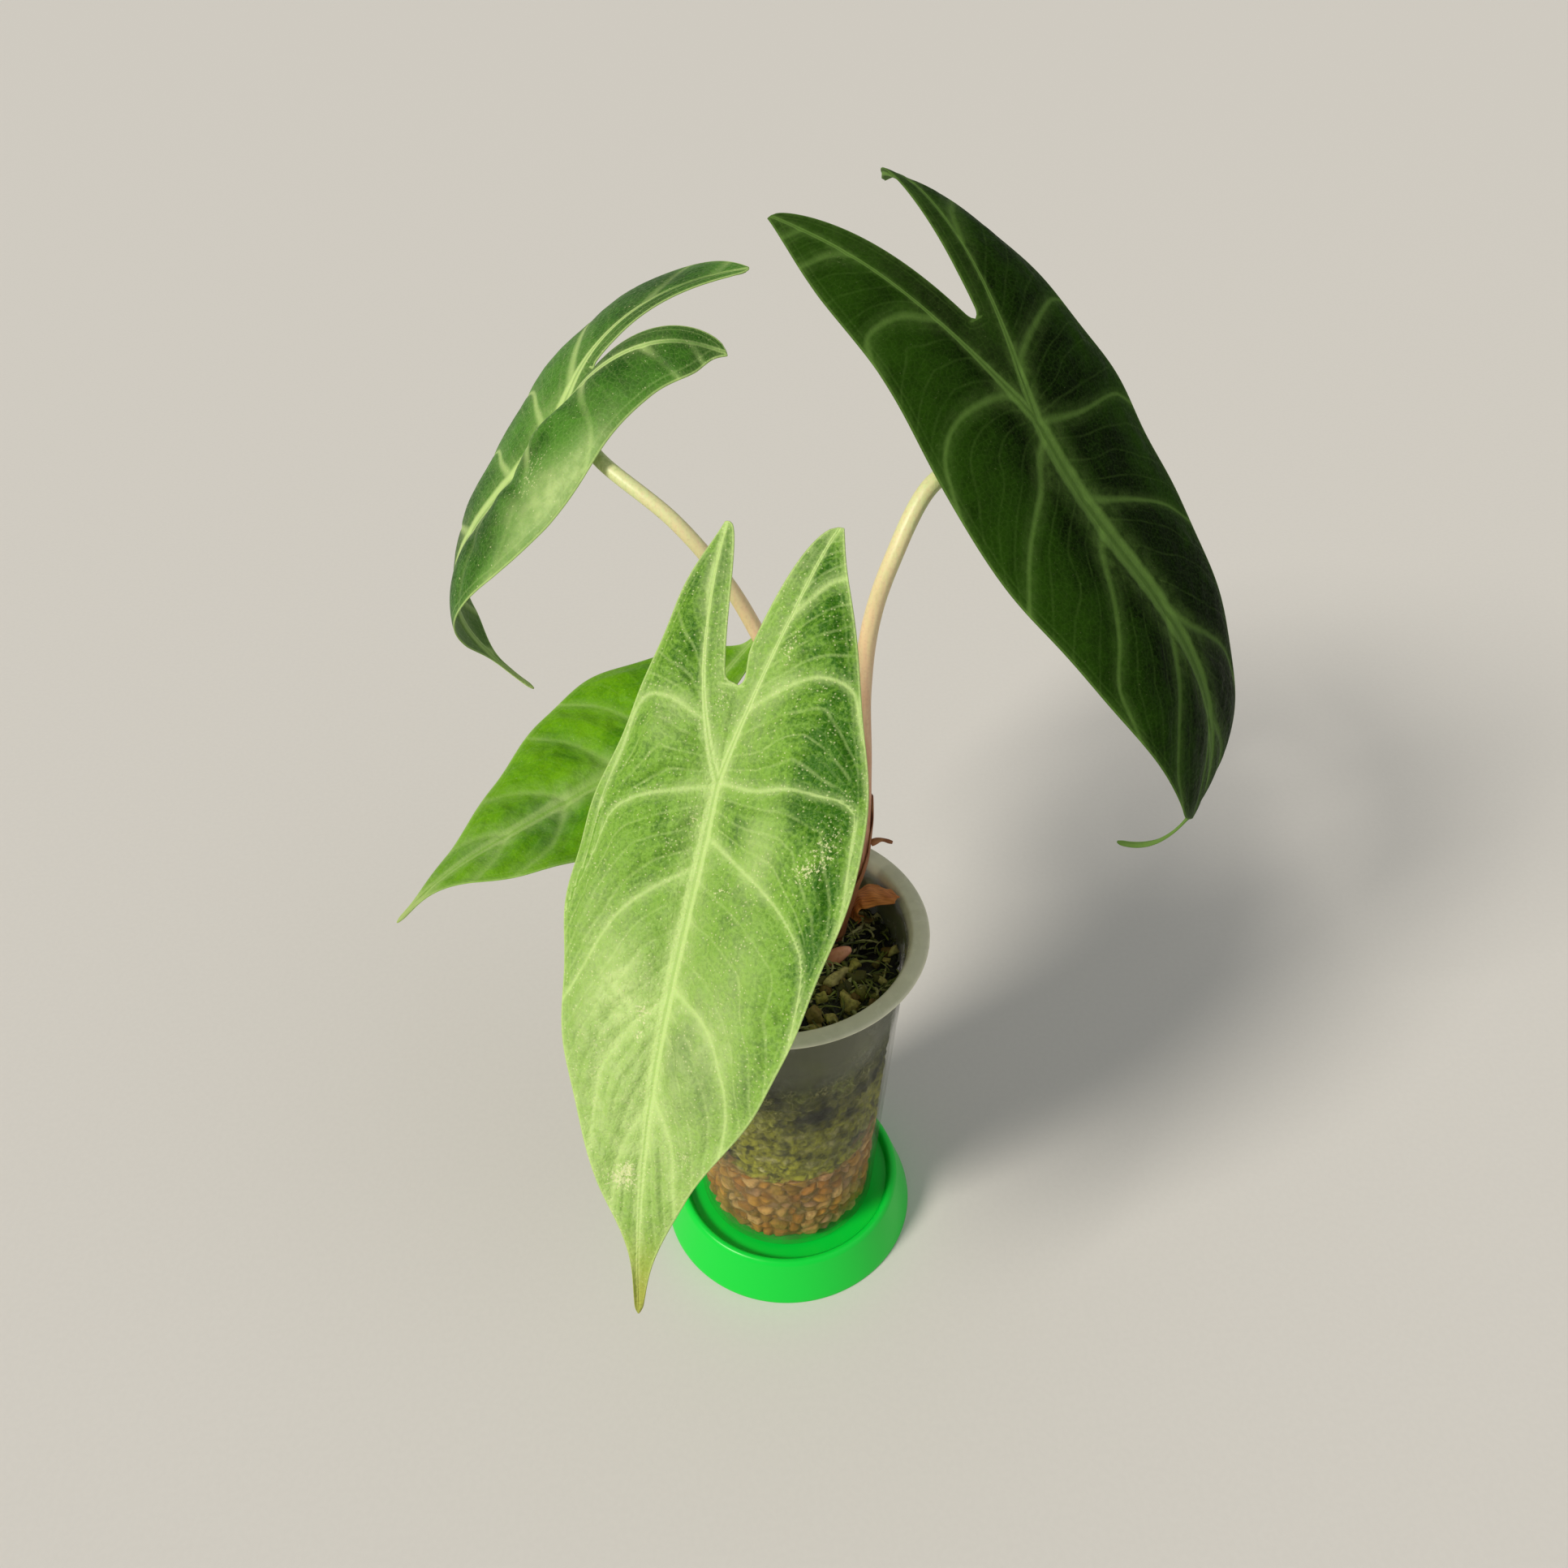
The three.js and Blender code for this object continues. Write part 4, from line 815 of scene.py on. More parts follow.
def blade_mesh(name, leaf, settings):
    """Blade about its middle surface. Between the veins it bulges by
    bulge * (1 - exp(-(distance / 5)^2)), it sinks a little along each vein on top, and it stands
    out there as a rib of half-round section below. Returns points, faces, the floats that each
    point carries and its place on the flat leaf."""
    flat, middle, normal, edge, veins, faces = blade_grid(name, leaf, settings.cell / MM)
    away, width, place, gap = veins
    along = np.clip(flat[:, 0] / leaf["length"], 0, 1)
    beside = np.abs(place - np.round(place)) * gap
    fine = np.abs(4 * place - np.round(4 * place)) * gap / 4
    near = np.minimum(away, beside)
    bulge, ripple = QUILTS[name]
    quilt = (1 - np.exp(-((near / 5) ** 2))) * ease(edge, 0, 7) * (1 - 0.4 * along) * bulge
    spot = np.column_stack([flat, 0 * edge])
    lump = noise(spot, 3.1, 3) + 0.5 * noise(spot, 1.7, 8) - 0.75
    calm = ease(near, 0.6, 3) * ease(edge, 0.5, 4)
    lift = settings.bulge / MM * (quilt + 0.4 * bulge * lump * calm)
    pressed = settings.ripple / MM * ripple * np.exp(-((fine / 0.8) ** 2))
    lift += patch_field(flat, SWELLS.get(name, ())) - pressed * calm * ease(gap, 6, 12)
    middle = middle + normal * lift[:, None]
    half_thick = settings.thickness / MM / 2 * (1 - 0.3 * ease(edge, 1.5, 0.1))
    furrow = 0.24 * np.exp(-((away / (1.4 * width)) ** 2)) + 0.22 * np.exp(-((beside / 0.9) ** 2))
    ridge = 0.2 * np.exp(-((away / (0.55 * width)) ** 2))
    up = half_thick + (ridge - furrow) * ease(edge, 0, 2)
    main_rib = (1 - 0.7 * along) * np.sqrt(np.maximum(1 - (away / (2 * width)) ** 2, 0))
    side_rib = 0.5 * np.exp(-away / 22) * np.sqrt(np.maximum(1 - (beside / 0.9) ** 2, 0))
    rib = settings.rib / MM * np.maximum(main_rib, side_rib) * ease(edge, 0.3, 2)
    points, every, source = sheet(middle, normal, (up, half_thick + rib), faces)
    below = np.zeros(len(points))
    below[len(middle):2 * len(middle)] = 1
    attributes = {
        "main": np.minimum(away / width, 12)[source],
        "away": np.minimum(away, 30)[source],
        "place": (place + 20)[source],
        "gap": gap[source],
        "edge": edge[source],
        "deep": patch_field(flat, DEEP_AND_SHADE_PATCHES[name])[source],
        "cream": patch_field(flat, CREAM_PATCHES[name])[source],
        "pale": patch_field(flat, PALE_AND_SHEEN_PATCHES.get(name, ()))[source],
        "faint": np.minimum(patch_field(flat, FAINT_PATCHES.get(name, ())), 0.85)[source],
        "tip": ease(flat[:, 0] / leaf["length"], *TIPS[name])[source],
        "below": below,
    }
    return points, every, attributes, flat[source]


# Kinds of shader node: Blender's name, fixed settings, the inputs that a call gives in this order
# and the output that is handed on. "times", "plus" and "less" are kept between 0 and 1
NOISE = ("Vector", "Scale", "Detail", "Roughness")
CELLS = ("Vector", "Scale", "Randomness")
NODES = {
    "object": ("TexCoord", {}, (), "Object"),
    "flat": ("UVMap", {"uv_map": "flat"}, (), 0),
    "carried": ("Attribute", {}, (), "Fac"),
    "stretch": ("Mapping", {}, ("Vector", "Scale"), 0),
    "noise": ("TexNoise", {}, NOISE, 0),
    "flat noise": ("TexNoise", {"noise_dimensions": "2D"}, NOISE, 0),
    "net": ("TexVoronoi", {"feature": "DISTANCE_TO_EDGE"}, CELLS, 0),
    "flat net": ("TexVoronoi", {"feature": "DISTANCE_TO_EDGE", "voronoi_dimensions": "2D"},
                 CELLS, 0),
    "flat cells": ("TexVoronoi", {"voronoi_dimensions": "2D"}, CELLS, "Distance"),
    "ramp": ("ValToRGB", {}, (0,), 0),
    "height": ("SeparateXYZ", {}, (0,), 2),
    "red": ("SeparateColor", {}, (0,), 0),
    "slant": ("LayerWeight", {}, ("Blend",), "Facing"),
    "bump": ("Bump", {}, ("Height", "Strength", "Distance"), 0),
    "mix": ("Mix", {"data_type": "RGBA"}, (0, 6, 7), 2),
    "shift": ("Mix", {"data_type": "VECTOR"}, (0, 4, 5), 1),
    "span": ("MapRange", {"interpolation_type": "SMOOTHSTEP"},
             ("Value", "From Min", "From Max", "To Min", "To Max"), 0),
    "times": ("Math", {"operation": "MULTIPLY", "use_clamp": True}, (0, 1), 0),
    "plus": ("Math", {"operation": "ADD", "use_clamp": True}, (0, 1), 0),
    "less": ("Math", {"operation": "SUBTRACT", "use_clamp": True}, (0, 1), 0),
    "product": ("Math", {"operation": "MULTIPLY"}, (0, 1), 0),
    "sum": ("Math", {"operation": "ADD"}, (0, 1), 0),
    "difference": ("Math", {"operation": "SUBTRACT"}, (0, 1), 0),
    "zigzag": ("Math", {"operation": "PINGPONG"}, (0, 1), 0),
}


def fill(tree, node, values):
    """Gives inputs of a node a value or a link each."""
    for key, value in values.items():
        socket = node.inputs[key]
        if isinstance(value, bpy.types.NodeSocket):
            tree.links.new(value, socket)
        elif socket.type == "RGBA":
            socket.default_value = tuple(value)[:3] + (1,)
        else:
            socket.default_value = value


def add(tree, kind, *inputs, **settings):
    """Adds a node of a kind that NODES lists and returns the output that it hands on."""
    name, fixed, order, output = NODES[kind]
    node = tree.nodes.new("ShaderNode" + name)
    for key, value in (fixed | settings).items():
        setattr(node, key, value)
    fill(tree, node, dict(zip(order, inputs)))
    return node.outputs[output]


def new_material(name):
    """Material of a single shader, with a function that adds a node to it and a function that
    gives the shader's inputs a value or a link each."""
    material = bpy.data.materials.new(name)
    material.use_nodes = True
    tree = material.node_tree
    tree.nodes.clear()
    shader = tree.nodes.new("ShaderNodeBsdfPrincipled")
    output = tree.nodes.new("ShaderNodeOutputMaterial")
    tree.links.new(shader.outputs[0], output.inputs["Surface"])
    return material, partial(add, tree), partial(fill, tree, shader)


def layered(node, colour, layers):
    """A colour with others laid over it one after another, each as a share and its colour."""
    for share, over in layers:
        colour = node("mix", share, colour, over)
    return colour


def set_stops(ramp, stops):
    """Gives a ramp its stops, each as a position and a colour."""
    band = ramp.node.color_ramp
    while len(band.elements) < len(stops):
        band.elements.new(0.5)
    for element, (at, colour) in zip(band.elements, stops):
        element.position = at
        element.color = tuple(colour) + (1,)


def leaf_material(name, settings):
    """Living leaf of a speckled alocasia, grown, waxy and satin. The eye sees a lighter and a
    deeper green in soft patches, the deeper ones partly painted shade and the lighter ones partly a
    painted sheen, pale veins with a paler haze beside them, finer veins between them, a fine net,
    a pale margin and cream specks where the tissue has no green."""
    look = LOOKS[name]
    light, deep, vein, tip = (getattr(settings, key) for key in look["colours"])
    veins, bloom, rough = look["veins"], look["bloom"], look["roughness"]
    speckle = look["speckle"] * settings.speckle
    material, node, finish = new_material("living leaf, " + name.replace("_", " "))
    main, away, place, gap, edge, dark, cream, pale, faint, tail, below = (
        node("carried", attribute_name=key) for key in
        ("main", "away", "place", "gap", "edge", "deep", "cream", "pale", "faint", "tip", "below"))
    # One unit of the flat map is 100 mm, so a scale of 100 is one cell a millimetre
    flat = node("flat")
    broad, cloud, grain = (node("flat noise", flat, *size) for size in ((9, 3), (34, 4), (110, 5)))
    mottle = 0.1 + 0.12 * min(speckle, 1)
    # Deep patches: the leaf's deeper green, partly painted shade where a blade turns from the light
    share = node("plus", dark, node("span", broad, 0.35, 0.7, 0.02, 0.3))
    share = node("plus", share, node("span", cloud, 0.3, 0.7, -mottle, mottle))
    share = node("plus", share, node("span", grain, 0.35, 0.65, -mottle, mottle))
    net = node("flat net", flat, 72, 0.95)
    layers = [
        # Pale patches in the bloom colour: partly bloom, partly a painted sheen
        (node("times", pale, node("span", cloud, 0.3, 0.7, 0.38, 0.58)), settings.bloom),
        # Net of the finest veins, cells about 1.4 mm wide
        (node("span", net, 0, 0.16, 0.07 * veins, 0), vein)]
    # Finer veins at every eighth and quarter of the way from one side vein to the next
    fade = node("span", cloud, 0.32, 0.62, 0.4, 1)
    shown = node("less", 1, faint)
    sparse = node("span", gap, 5, 11)
    for part, width, strength in ((0.0625, 0.3, 0.14), (0.125, 0.5, 0.34)):
        line = node("product", node("zigzag", place, part), gap)
        line = node("span", line, 0.08, width, strength * veins * bloom, 0)
        line = node("times", node("times", line, sparse), fade)
        layers.append((node("times", line, shown), vein))
    # Haze and line of the side veins, which narrow from 1.3 mm to 0.6 mm on their way to the edge,
    # and then of the midrib and the lobes' veins
    wide = look["vein_width"]
    beside = node("product", node("zigzag", place, 0.5), gap)
    beside = node("product", beside, node("span", away, 0, 30, 0.7 / wide, 1.5 / wide))
    main = node("product", main, 1 / wide)
    for at, haze, mist, line, strength in (
            (beside, (0.3, 2.7), 0.5, (0.1, 0.8), 0.62 * veins),
            (main, (0.9, 3.8), 0.62, (0.75, 1.35), 0.92 * min(1.15 * veins, 1))):
        haze = node("times", node("span", at, *haze, mist * bloom, 0), fade)
        line = node("span", at, *line, strength, 0)
        layers += [(node("times", haze, shown), vein), (node("times", line, shown), vein)]
    ring = node("times", node("span", edge, 1.6, 2.0), node("span", edge, 2.0, 2.5, 1, 0))
    # Dots 0.2 to 0.5 mm wide in loose clusters, and ragged blots in the cream patches
    speck = node("flat cells", flat, 120, 1)
    lot = node("red", speck.node.outputs["Color"])
    odds = node("times", node("span", broad, 0.38, 0.6, 0.2, 0.7), node("plus", cream, 0.3))
    odds = node("times", odds, speckle)
    chosen = node("times", node("span", node("difference", lot, odds), -0.03, 0, 1, 0),
                  node("span", speck, 0.1, 0.3, 1, 0))
    blot = node("sum", node("flat noise", flat, 130, 4, 0.65), node("times", cream, 0.2))
    layers += [
        # Groove along the middle of the midrib
        (node("span", main, 0.12, 0.4, 0.35, 0), light),
        # A paler band along the edge, a faint vein 2 mm inside it and the margin, 0.3 mm wide
        (node("times", node("span", edge, 0.7, 1.7, 0.37 * bloom, 0), fade), vein),
        (node("times", ring, 0.16 * veins), vein),
        (node("span", edge, 0.15, 0.5, 0.7 * veins, 0), vein),
        (node("times", chosen, min(0.5, 2.5 * speckle)), settings.cream),
        (node("span", blot, 0.68, 0.76, 0, 0.75 * min(4 * speckle, 1)), settings.cream),
        (node("times", tail, 0.8), tip)]
    above = layered(node, node("mix", share, light, deep), layers)
    under = node("mix", 0.35, above, settings.underside)
    # Cells of the skin, drawn 0.35 mm wide, and the pucker of the net
    skin = node("product", node("flat cells", flat, 280, 1), 0.12)
    height = node("sum", skin, node("product", node("span", net, 0, 0.3), 0.25))
    height = node("sum", height, grain)
    finish({"Base Color": node("mix", below, above, under),
            "Roughness": node("span", grain, 0.3, 0.7, rough - 0.05, rough + 0.09),
            "Normal": node("bump", height, 0.2 + 0.5 * min(speckle, 1), 0.0004),
            "IOR": 1.42, "Specular IOR Level": look["shine"], "Subsurface Weight": 0.12,
            "Subsurface Radius": (0.6, 1.0, 0.2), "Subsurface Scale": 0.0008})
    return material


def stem_material(settings):
    """Fleshy leaf stalk: smooth, faintly ribbed skin that goes from red-brown at the foot through
    pink to pale cream-green under the blade."""
    material, node, finish = new_material("fleshy leaf stalk")
    place = node("object")
    streak = node("noise", node("stretch", place, (900, 900, 60)), 1, 4)
    ramp = node("ramp", node("plus", node("carried", attribute_name="along"),
                             node("span", streak, 0.3, 0.7, -0.05, 0.05)))
    set_stops(ramp, ((0.0, settings.foot), (0.14, settings.foot), (0.3, settings.blush),
                     (0.52, settings.middle), (0.82, settings.top), (0.97, settings.neck)))
    dots = node("span", node("noise", place, 1400, 3), 0.45, 0.75, 0, 0.2)
    finish({"Base Color": node("mix", dots, ramp, settings.fleck),
            "Normal": node("bump", streak, 0.4, 0.0002), "Roughness": 0.42,
            "Subsurface Weight": 0.15, "Subsurface Radius": (1.0, 0.6, 0.4),
            "Subsurface Scale": 0.0015})
    return material


def sheath_material(name, light, dark):
    """Dry papery sheath: thin, fibrous along its length, darker in streaks and blotches."""
    material, node, finish = new_material(name)
    streak = node("noise", node("stretch", node("flat"), (25, 320, 1)), 1, 5)
    blotch = node("noise", node("object"), 260, 4)
    colour = node("mix", node("span", streak, 0.3, 0.72), light, dark)
    finish({"Base Color": node("mix", node("span", blotch, 0.5, 0.75, 0, 0.65), colour, dark),
            "Normal": node("bump", streak, 0.7, 0.0003), "Roughness": 0.6,
            "Subsurface Weight": 0.1, "Subsurface Radius": (1.0, 0.5, 0.25),
            "Subsurface Scale": 0.001})
    return material


def shoot_material(settings):
    """New shoot: tender pink skin, paler towards the point, with faint lengthwise streaks."""
    material, node, finish = new_material("tender shoot")
    foot = settings.shoot_foot
    streak = node("noise", node("stretch", node("object"), (1100, 1100, 120)), 1, 4)
    colour = node("mix", node("carried", attribute_name="along"), foot, settings.shoot_tip)
    finish({"Base Color": node("mix", node("span", streak, 0.45, 0.75, 0, 0.4), colour, foot),
            "Normal": node("bump", streak, 0.3, 0.0002), "Roughness": 0.4,
            "Subsurface Weight": 0.2, "Subsurface Scale": 0.0015})
    return material


def grains_material(name, colours, rough, mottle):
    """Loose grains, each with its own colour out of a row of colours, mottled and pitted. The
    mesh carries each grain's number as "mark", and as a second float how much shade is painted
    between the grains."""
    material, node, finish = new_material(name)
    place = node("object")
    ramp = node("ramp", node("carried", attribute_name="mark"))
    ramp.node.color_ramp.interpolation = "CONSTANT"
    set_stops(ramp, [(k / len(colours), hex_colour(code)) for k, code in enumerate(colours)])
    speck = node("noise", place, 900, 6)
    colour = layered(node, ramp, (
        (node("span", speck, 0.4, 0.7, 0, 0.5), hex_colour(mottle)),
        (node("span", node("noise", place, 160, 3), 0.5, 0.75, 0, 0.5), hex_colour(mottle)),
        # Painted shade between the grains
        (node("carried", attribute_name="depth"), hex_colour("#0F0D08"))))
    finish({"Base Color": colour, "Normal": node("bump", speck, 0.8, 0.0005), "Roughness": rough})
    return material


def moss_material(settings):
    """Wet moss, algae and fine roots on dark peat: near-black hollows, olive and yellow-green
    threads where it stands up, a few bleached ones."""
    material, node, finish = new_material("living moss mat")
    place = node("object")
    bent = node("noise", place, 120, 2).node.outputs["Color"]
    thread = node("net", node("shift", 0.012, place, bent), 420, 1)
    coarse, tuft, fine = (node("noise", place, *size) for size in ((95, 5), (230, 3), (700, 5)))
    lines = node("times", node("span", thread, 0, 0.05, 1, 0), node("span", coarse, 0.42, 0.6))
    up = node("height", place)
    low = node("times", node("span", up, 0.055, 0.098, 0.95, 0), node("span", coarse, 0.36, 0.56))
    damp = node("times", node("span", up, 0.088, 0.1, 0, 0.6),
                node("span", up, 0.1065, 0.1075, 1, 0))
    mixed = node("sum", up, node("product", node("span", coarse, 0.3, 0.7), 0.014))
    ground = node("mix", node("span", coarse, 0.38, 0.62), settings.peat, settings.moss)
    colour = layered(node, ground, (
        (node("span", coarse, 0.58, 0.75, 0, 0.7), settings.fresh),
        (node("times", lines, 0.75), settings.thread),
        # Against the wall it is lightest just above the clay, with pale tufts and dark hollows
        (low, settings.wall),
        (node("times", node("span", tuft, 0.56, 0.68, 0, 0.8), low), settings.thread),
        (node("span", tuft, 0.34, 0.46, 0.75, 0), settings.peat),
        # Just below the rim it is grey with damp
        (node("times", damp, node("span", coarse, 0.4, 0.65)), hex_colour("#6C7064")),
        # Clay grains show through in the lowest 10 mm of it
        (node("span", mixed, 0.052, 0.058, 0.85, 0), hex_colour("#BC8C4C")),
        (node("span", fine, 0.35, 0.6, 0.5, 0), settings.peat),
        # Painted shade between the grains at the wall
        (node("carried", attribute_name="depth"), hex_colour("#0B0A06"))))
    finish({"Base Color": colour, "Normal": node("bump", fine, 1, 0.0006), "Roughness": 0.75})
    return material


def frond_material(settings):
    """Single moss threads: yellow-green at the growing point, brown-olive at the foot."""
    material, node, finish = new_material("moss threads")
    mark, along = (node("carried", attribute_name=key) for key in ("mark", "along"))
    colour = layered(node, node("mix", along, settings.moss, settings.fresh), (
        (node("span", mark, 0.5, 0.9), settings.thread),
        (node("span", mark, 0.1, 0.35, 0.8, 0), settings.peat)))
    finish({"Base Color": colour, "Roughness": 0.6})
    return material


def pot_material(settings):
    """Clear polypropylene, moulded thin and hazed by scratches, lime and algae. It is milky in
    the rim, grey in a band below it, with painted shade on the band's outer face and painted light
    on its inner face, and clear lower down, where it is smeared green-brown."""
    material, node, finish = new_material("hazed clear polypropylene")
    place, inner = node("object"), node("carried", attribute_name="inner")
    up = node("height", place)
    smear, dust = node("noise", place, 70, 6), node("noise", place, 150, 3)
    run = node("noise", node("stretch", place, (240, 240, 18)), 1, 4)
    algae = node("times", node("span", smear, 0.45, 0.7), node("span", up, 0.1, 0.116, 1, 0.1))
    # Grey band below the rim: painted shade on the outer face, painted light on the inner face
    grey_lit_and_shaded = node("mix", inner, hex_colour("#4B4F30"), hex_colour("#85876E"))
    colour = layered(node, settings.milk, (
        (node("span", up, 0.119, 0.1213, 1, 0), grey_lit_and_shaded),
        (node("times", algae, 0.8), settings.algae),
        (node("span", dust, 0.55, 0.75, 0, 0.15), settings.lime)))
    alpha = node("span", up, 0.092, 0.106, settings.haze, 0.62)
    # The rim, the film of algae, the inner face near the rim and dried runs hide more, and so
    # does the wall where it is seen at a slant, because it is thicker there
    for more in (node("span", up, 0.119, 0.1208, 0, 0.2),
                 node("times", algae, 0.1),
                 node("times", inner, node("span", up, 0.098, 0.11, 0, 0.3)),
                 node("span", run, 0.4, 0.7, -0.02, 0.08),
                 node("times", node("slant", 0.35), 0.16)):
        alpha = node("plus", alpha, more)
    finish({"Base Color": colour, "Alpha": alpha, "IOR": 1.49, "Specular IOR Level": 0.5,
            "Roughness": node("span", dust, 0.3, 0.7, 0.12, 0.3),
            "Normal": node("bump", run, 0.1, 0.0003)})
    return material


def saucer_material(settings):
    """Injection-moulded polypropylene in a bright green: smooth and glossy, faintly scuffed, with
    a little light carried inside it."""
    material, node, finish = new_material("bright green moulded polypropylene")
    scuff = node("noise", node("object"), 300, 5)
    finish({"Base Color": settings.green, "IOR": 1.49, "Specular IOR Level": 0.35,
            "Roughness": node("span", scuff, 0.35, 0.7, 0.3, 0.34), "Subsurface Weight": 0.15,
            "Subsurface Radius": (0.2, 1.0, 0.3), "Subsurface Scale": 0.002})
    return material


def colour_setting(title, description, code):
    """Setting for a colour, which starts as an sRGB hex code."""
    return FloatVectorProperty(name=title, description=description, subtype="COLOR",
                               default=hex_colour(code))


def length_setting(title, description, metres, low=0):
    """Setting for a length in metres."""
    return FloatProperty(name=title, description=description, default=metres, min=low,
                         unit="LENGTH", subtype="DISTANCE")


class BladeSettings(bpy.types.PropertyGroup):
    """Sizes and colours of the blades"""

    cell: length_setting("Cell", "Spacing of a blade's mesh", 0.00066, 0.0004)
    thickness: length_setting("Thickness", "Thickness of a blade between its veins", 0.0005)
    bulge: length_setting("Bulge", "How far a blade bulges between its side veins", 0.0015)
    ripple: length_setting("Ripple", "How deep the finer veins are pressed in", 0.0003)
    rib: length_setting("Rib", "How far the veins stand out below", 0.0009)
    speckle: FloatProperty(name="Speckle", description="Share of cream specks", default=1.0,
                           min=0, max=3, subtype="FACTOR")
    front_light: colour_setting("Front leaf", "Light green of the front leaf", "#7BAA38")
    front_deep: colour_setting("Front leaf, deep", "Deep green of the front leaf", "#2F6502")
    # The upper right leaf's greens are darkened with painted shade
    right_light_shaded: colour_setting("Upper right leaf", "Green of that leaf", "#223F08")
    right_deep_shaded: colour_setting("Upper right leaf, deep", "Deep green of that leaf", "#081501")
    left_light: colour_setting("Upper left leaf", "Green of that leaf", "#4C8226")
    left_deep: colour_setting("Upper left leaf, deep", "Deep green of that leaf", "#244E0F")
    low_light: colour_setting("Lower left leaf", "Green of that leaf", "#6DA611")
    low_deep: colour_setting("Lower left leaf, deep", "Deep green of that leaf", "#3A7806")
    vein: colour_setting("Veins", "Colour of the veins", "#C4DF8C")
    dark_vein: colour_setting("Veins, dark leaf", "Veins of the darkest leaf", "#66883F")
    bloom: colour_setting("Bloom", "Colour of the lighter patches", "#C6DE90")
    cream: colour_setting("Cream", "Colour of the specks", "#DFE4AC")
    front_tip: colour_setting("Front tip", "Colour of the front leaf's tail", "#A3A13A")
    tip: colour_setting("Tips", "Colour of the other leaves' tails", "#B9CB80")
    underside: colour_setting("Underside", "Tint of the underside", "#7FA258")


class StemSettings(bpy.types.PropertyGroup):
    """Colours of the stalks, the dry sheaths and the new shoot"""

    foot: colour_setting("Foot", "Colour of a stalk at its foot", "#9A5C3E")
    blush: colour_setting("Blush", "Colour of a stalk a third of the way up", "#DFA27E")
    middle: colour_setting("Middle", "Colour of a stalk half way up", "#F3D2A8")
    top: colour_setting("Top", "Colour of a stalk near its blade", "#DCE3A4")
    neck: colour_setting("Neck", "Colour of a stalk right below its blade", "#A9BC66")
    fleck: colour_setting("Flecks", "Fine flecks on a stalk", "#B98E72")
    sheath_light: colour_setting("Orange sheath", "Light colour of the dry flap", "#F5A050")
    sheath_dark: colour_setting("Brown sheath", "Dark colour of the dry sheaths", "#8E5236")
    shoot_tip: colour_setting("Shoot tip", "Colour of the new shoot's point", "#F6B08E")
    shoot_foot: colour_setting("Shoot foot", "Colour of the new shoot's foot", "#B8573A")


class FillingSettings(bpy.types.PropertyGroup):
    """Numbers and colours of the filling"""

    stones: IntProperty(name="Granules", description="Granules strewn on the moss", default=150,
                        min=0)
    fronds: IntProperty(name="Moss threads", description="Threads of moss that stand up",
                        default=900, min=0)
    peat: colour_setting("Peat", "Darkest colour between the moss", "#14130B")
    moss: colour_setting("Moss", "Colour of old moss", "#3E4418")
    fresh: colour_setting("Fresh moss", "Colour of growing moss", "#8E9A3E")
    wall: colour_setting("Moss at the wall", "Colour of moss at the wall", "#A9A930")
    thread: colour_setting("Threads", "Colour of bleached threads", "#BDB87C")


class VesselSettings(bpy.types.PropertyGroup):
    """Colours and haze of the pot and the saucer"""

    haze: FloatProperty(name="Haze", description="How much the clear wall hides", default=0.02,
                        min=0, max=1, subtype="FACTOR")
    milk: colour_setting("Plastic", "Colour of the hazed plastic", "#E6E4C6")
    lime: colour_setting("Lime", "Colour of lime spots", "#DADACB")
    algae: colour_setting("Algae", "Colour of the algae film", "#596024")
    green: colour_setting("Saucer", "Colour of the saucer", "#02D63C")


class StageSettings(bpy.types.PropertyGroup):
    """Camera and light"""

    key: FloatProperty(name="Key light", description="Strength of the light from the left",
                       default=2.7)
    fill: FloatProperty(name="Fill light", description="Strength of the light from the right",
                        default=0.35)
    floor: colour_setting("Floor", "Colour of the floor", "#D8D6D0")


class ALOCASIA_OT_blades(bpy.types.Operator):
    """Makes the four blades"""

    bl_idname = "alocasia.blades"
    bl_label = "Blades"

    def execute(self, context):
        settings = context.scene.alocasia_blades
        for name, leaf in LEAVES.items():
            points, faces, attributes, flat = blade_mesh(name, leaf, settings)
            piece = make_piece("leaf_" + name, points, faces, leaf_material(name, settings),
                               attributes, flat)
            finish_piece(piece, "blade_" + name)
        return {"FINISHED"}


def stem_path(leaf):
    """Way of a stem: through its own points, then at a slant through the blade's joint."""
    point, _, _, up = posture(leaf, np.array(0.0))
    slant = unit(unit(point - np.array(leaf["stem"][-1], float)) + 0.8 * up)
    points = list(leaf["stem"]) + [point - 6 * slant, point + 4 * slant]
    return curve_points(points, 220), point, up


def stem_radius(leaf, t):
    """Radius of a stem at the share t of its way, narrowing until 5/8 of it."""
    base, end = leaf["stem_radius"]
    return base + (end - base) * np.minimum(t * 1.6, 1)


def stalk(leaf):
    """Tube along a stem's way with nine shallow ribs and four that wind, 16 % thicker at its end.
    What would rise through the blade is pressed flat 0.25 mm below it. Returns points, faces and
    each point's share of the way."""
    path, joint, up = stem_path(leaf)
    t = np.linspace(0, 1, len(path))[:, None]
    turn = ring_turns(STALK_SIDES)
    ribs = 1 + 0.012 * np.sin(turn * 9) + 0.008 * np.sin(turn * 4 + 9 * t)
    radius = stem_radius(leaf, t) * ribs * (1 + 0.16 * ease(t, 0.9, 0.97))
    points, faces = tube(path, radius, STALK_SIDES)
    points = points - up * np.maximum((points - joint) @ up + 0.25, 0)[:, None]
    return points, faces, np.concatenate([np.repeat(t[:, 0], STALK_SIDES), [0, 1]])


class ALOCASIA_OT_stems(bpy.types.Operator):
    """Makes the four stalks"""

    bl_idname = "alocasia.stems"
    bl_label = "Stalks"

    def execute(self, context):
        material = stem_material(context.scene.alocasia_stems)
        for name, leaf in LEAVES.items():
            points, faces, along = stalk(leaf)
            piece = make_piece("stalk_" + name, points, faces, material, {"along": along},
                               flip=True)
            finish_piece(piece, "stem_" + name)
        return {"FINISHED"}


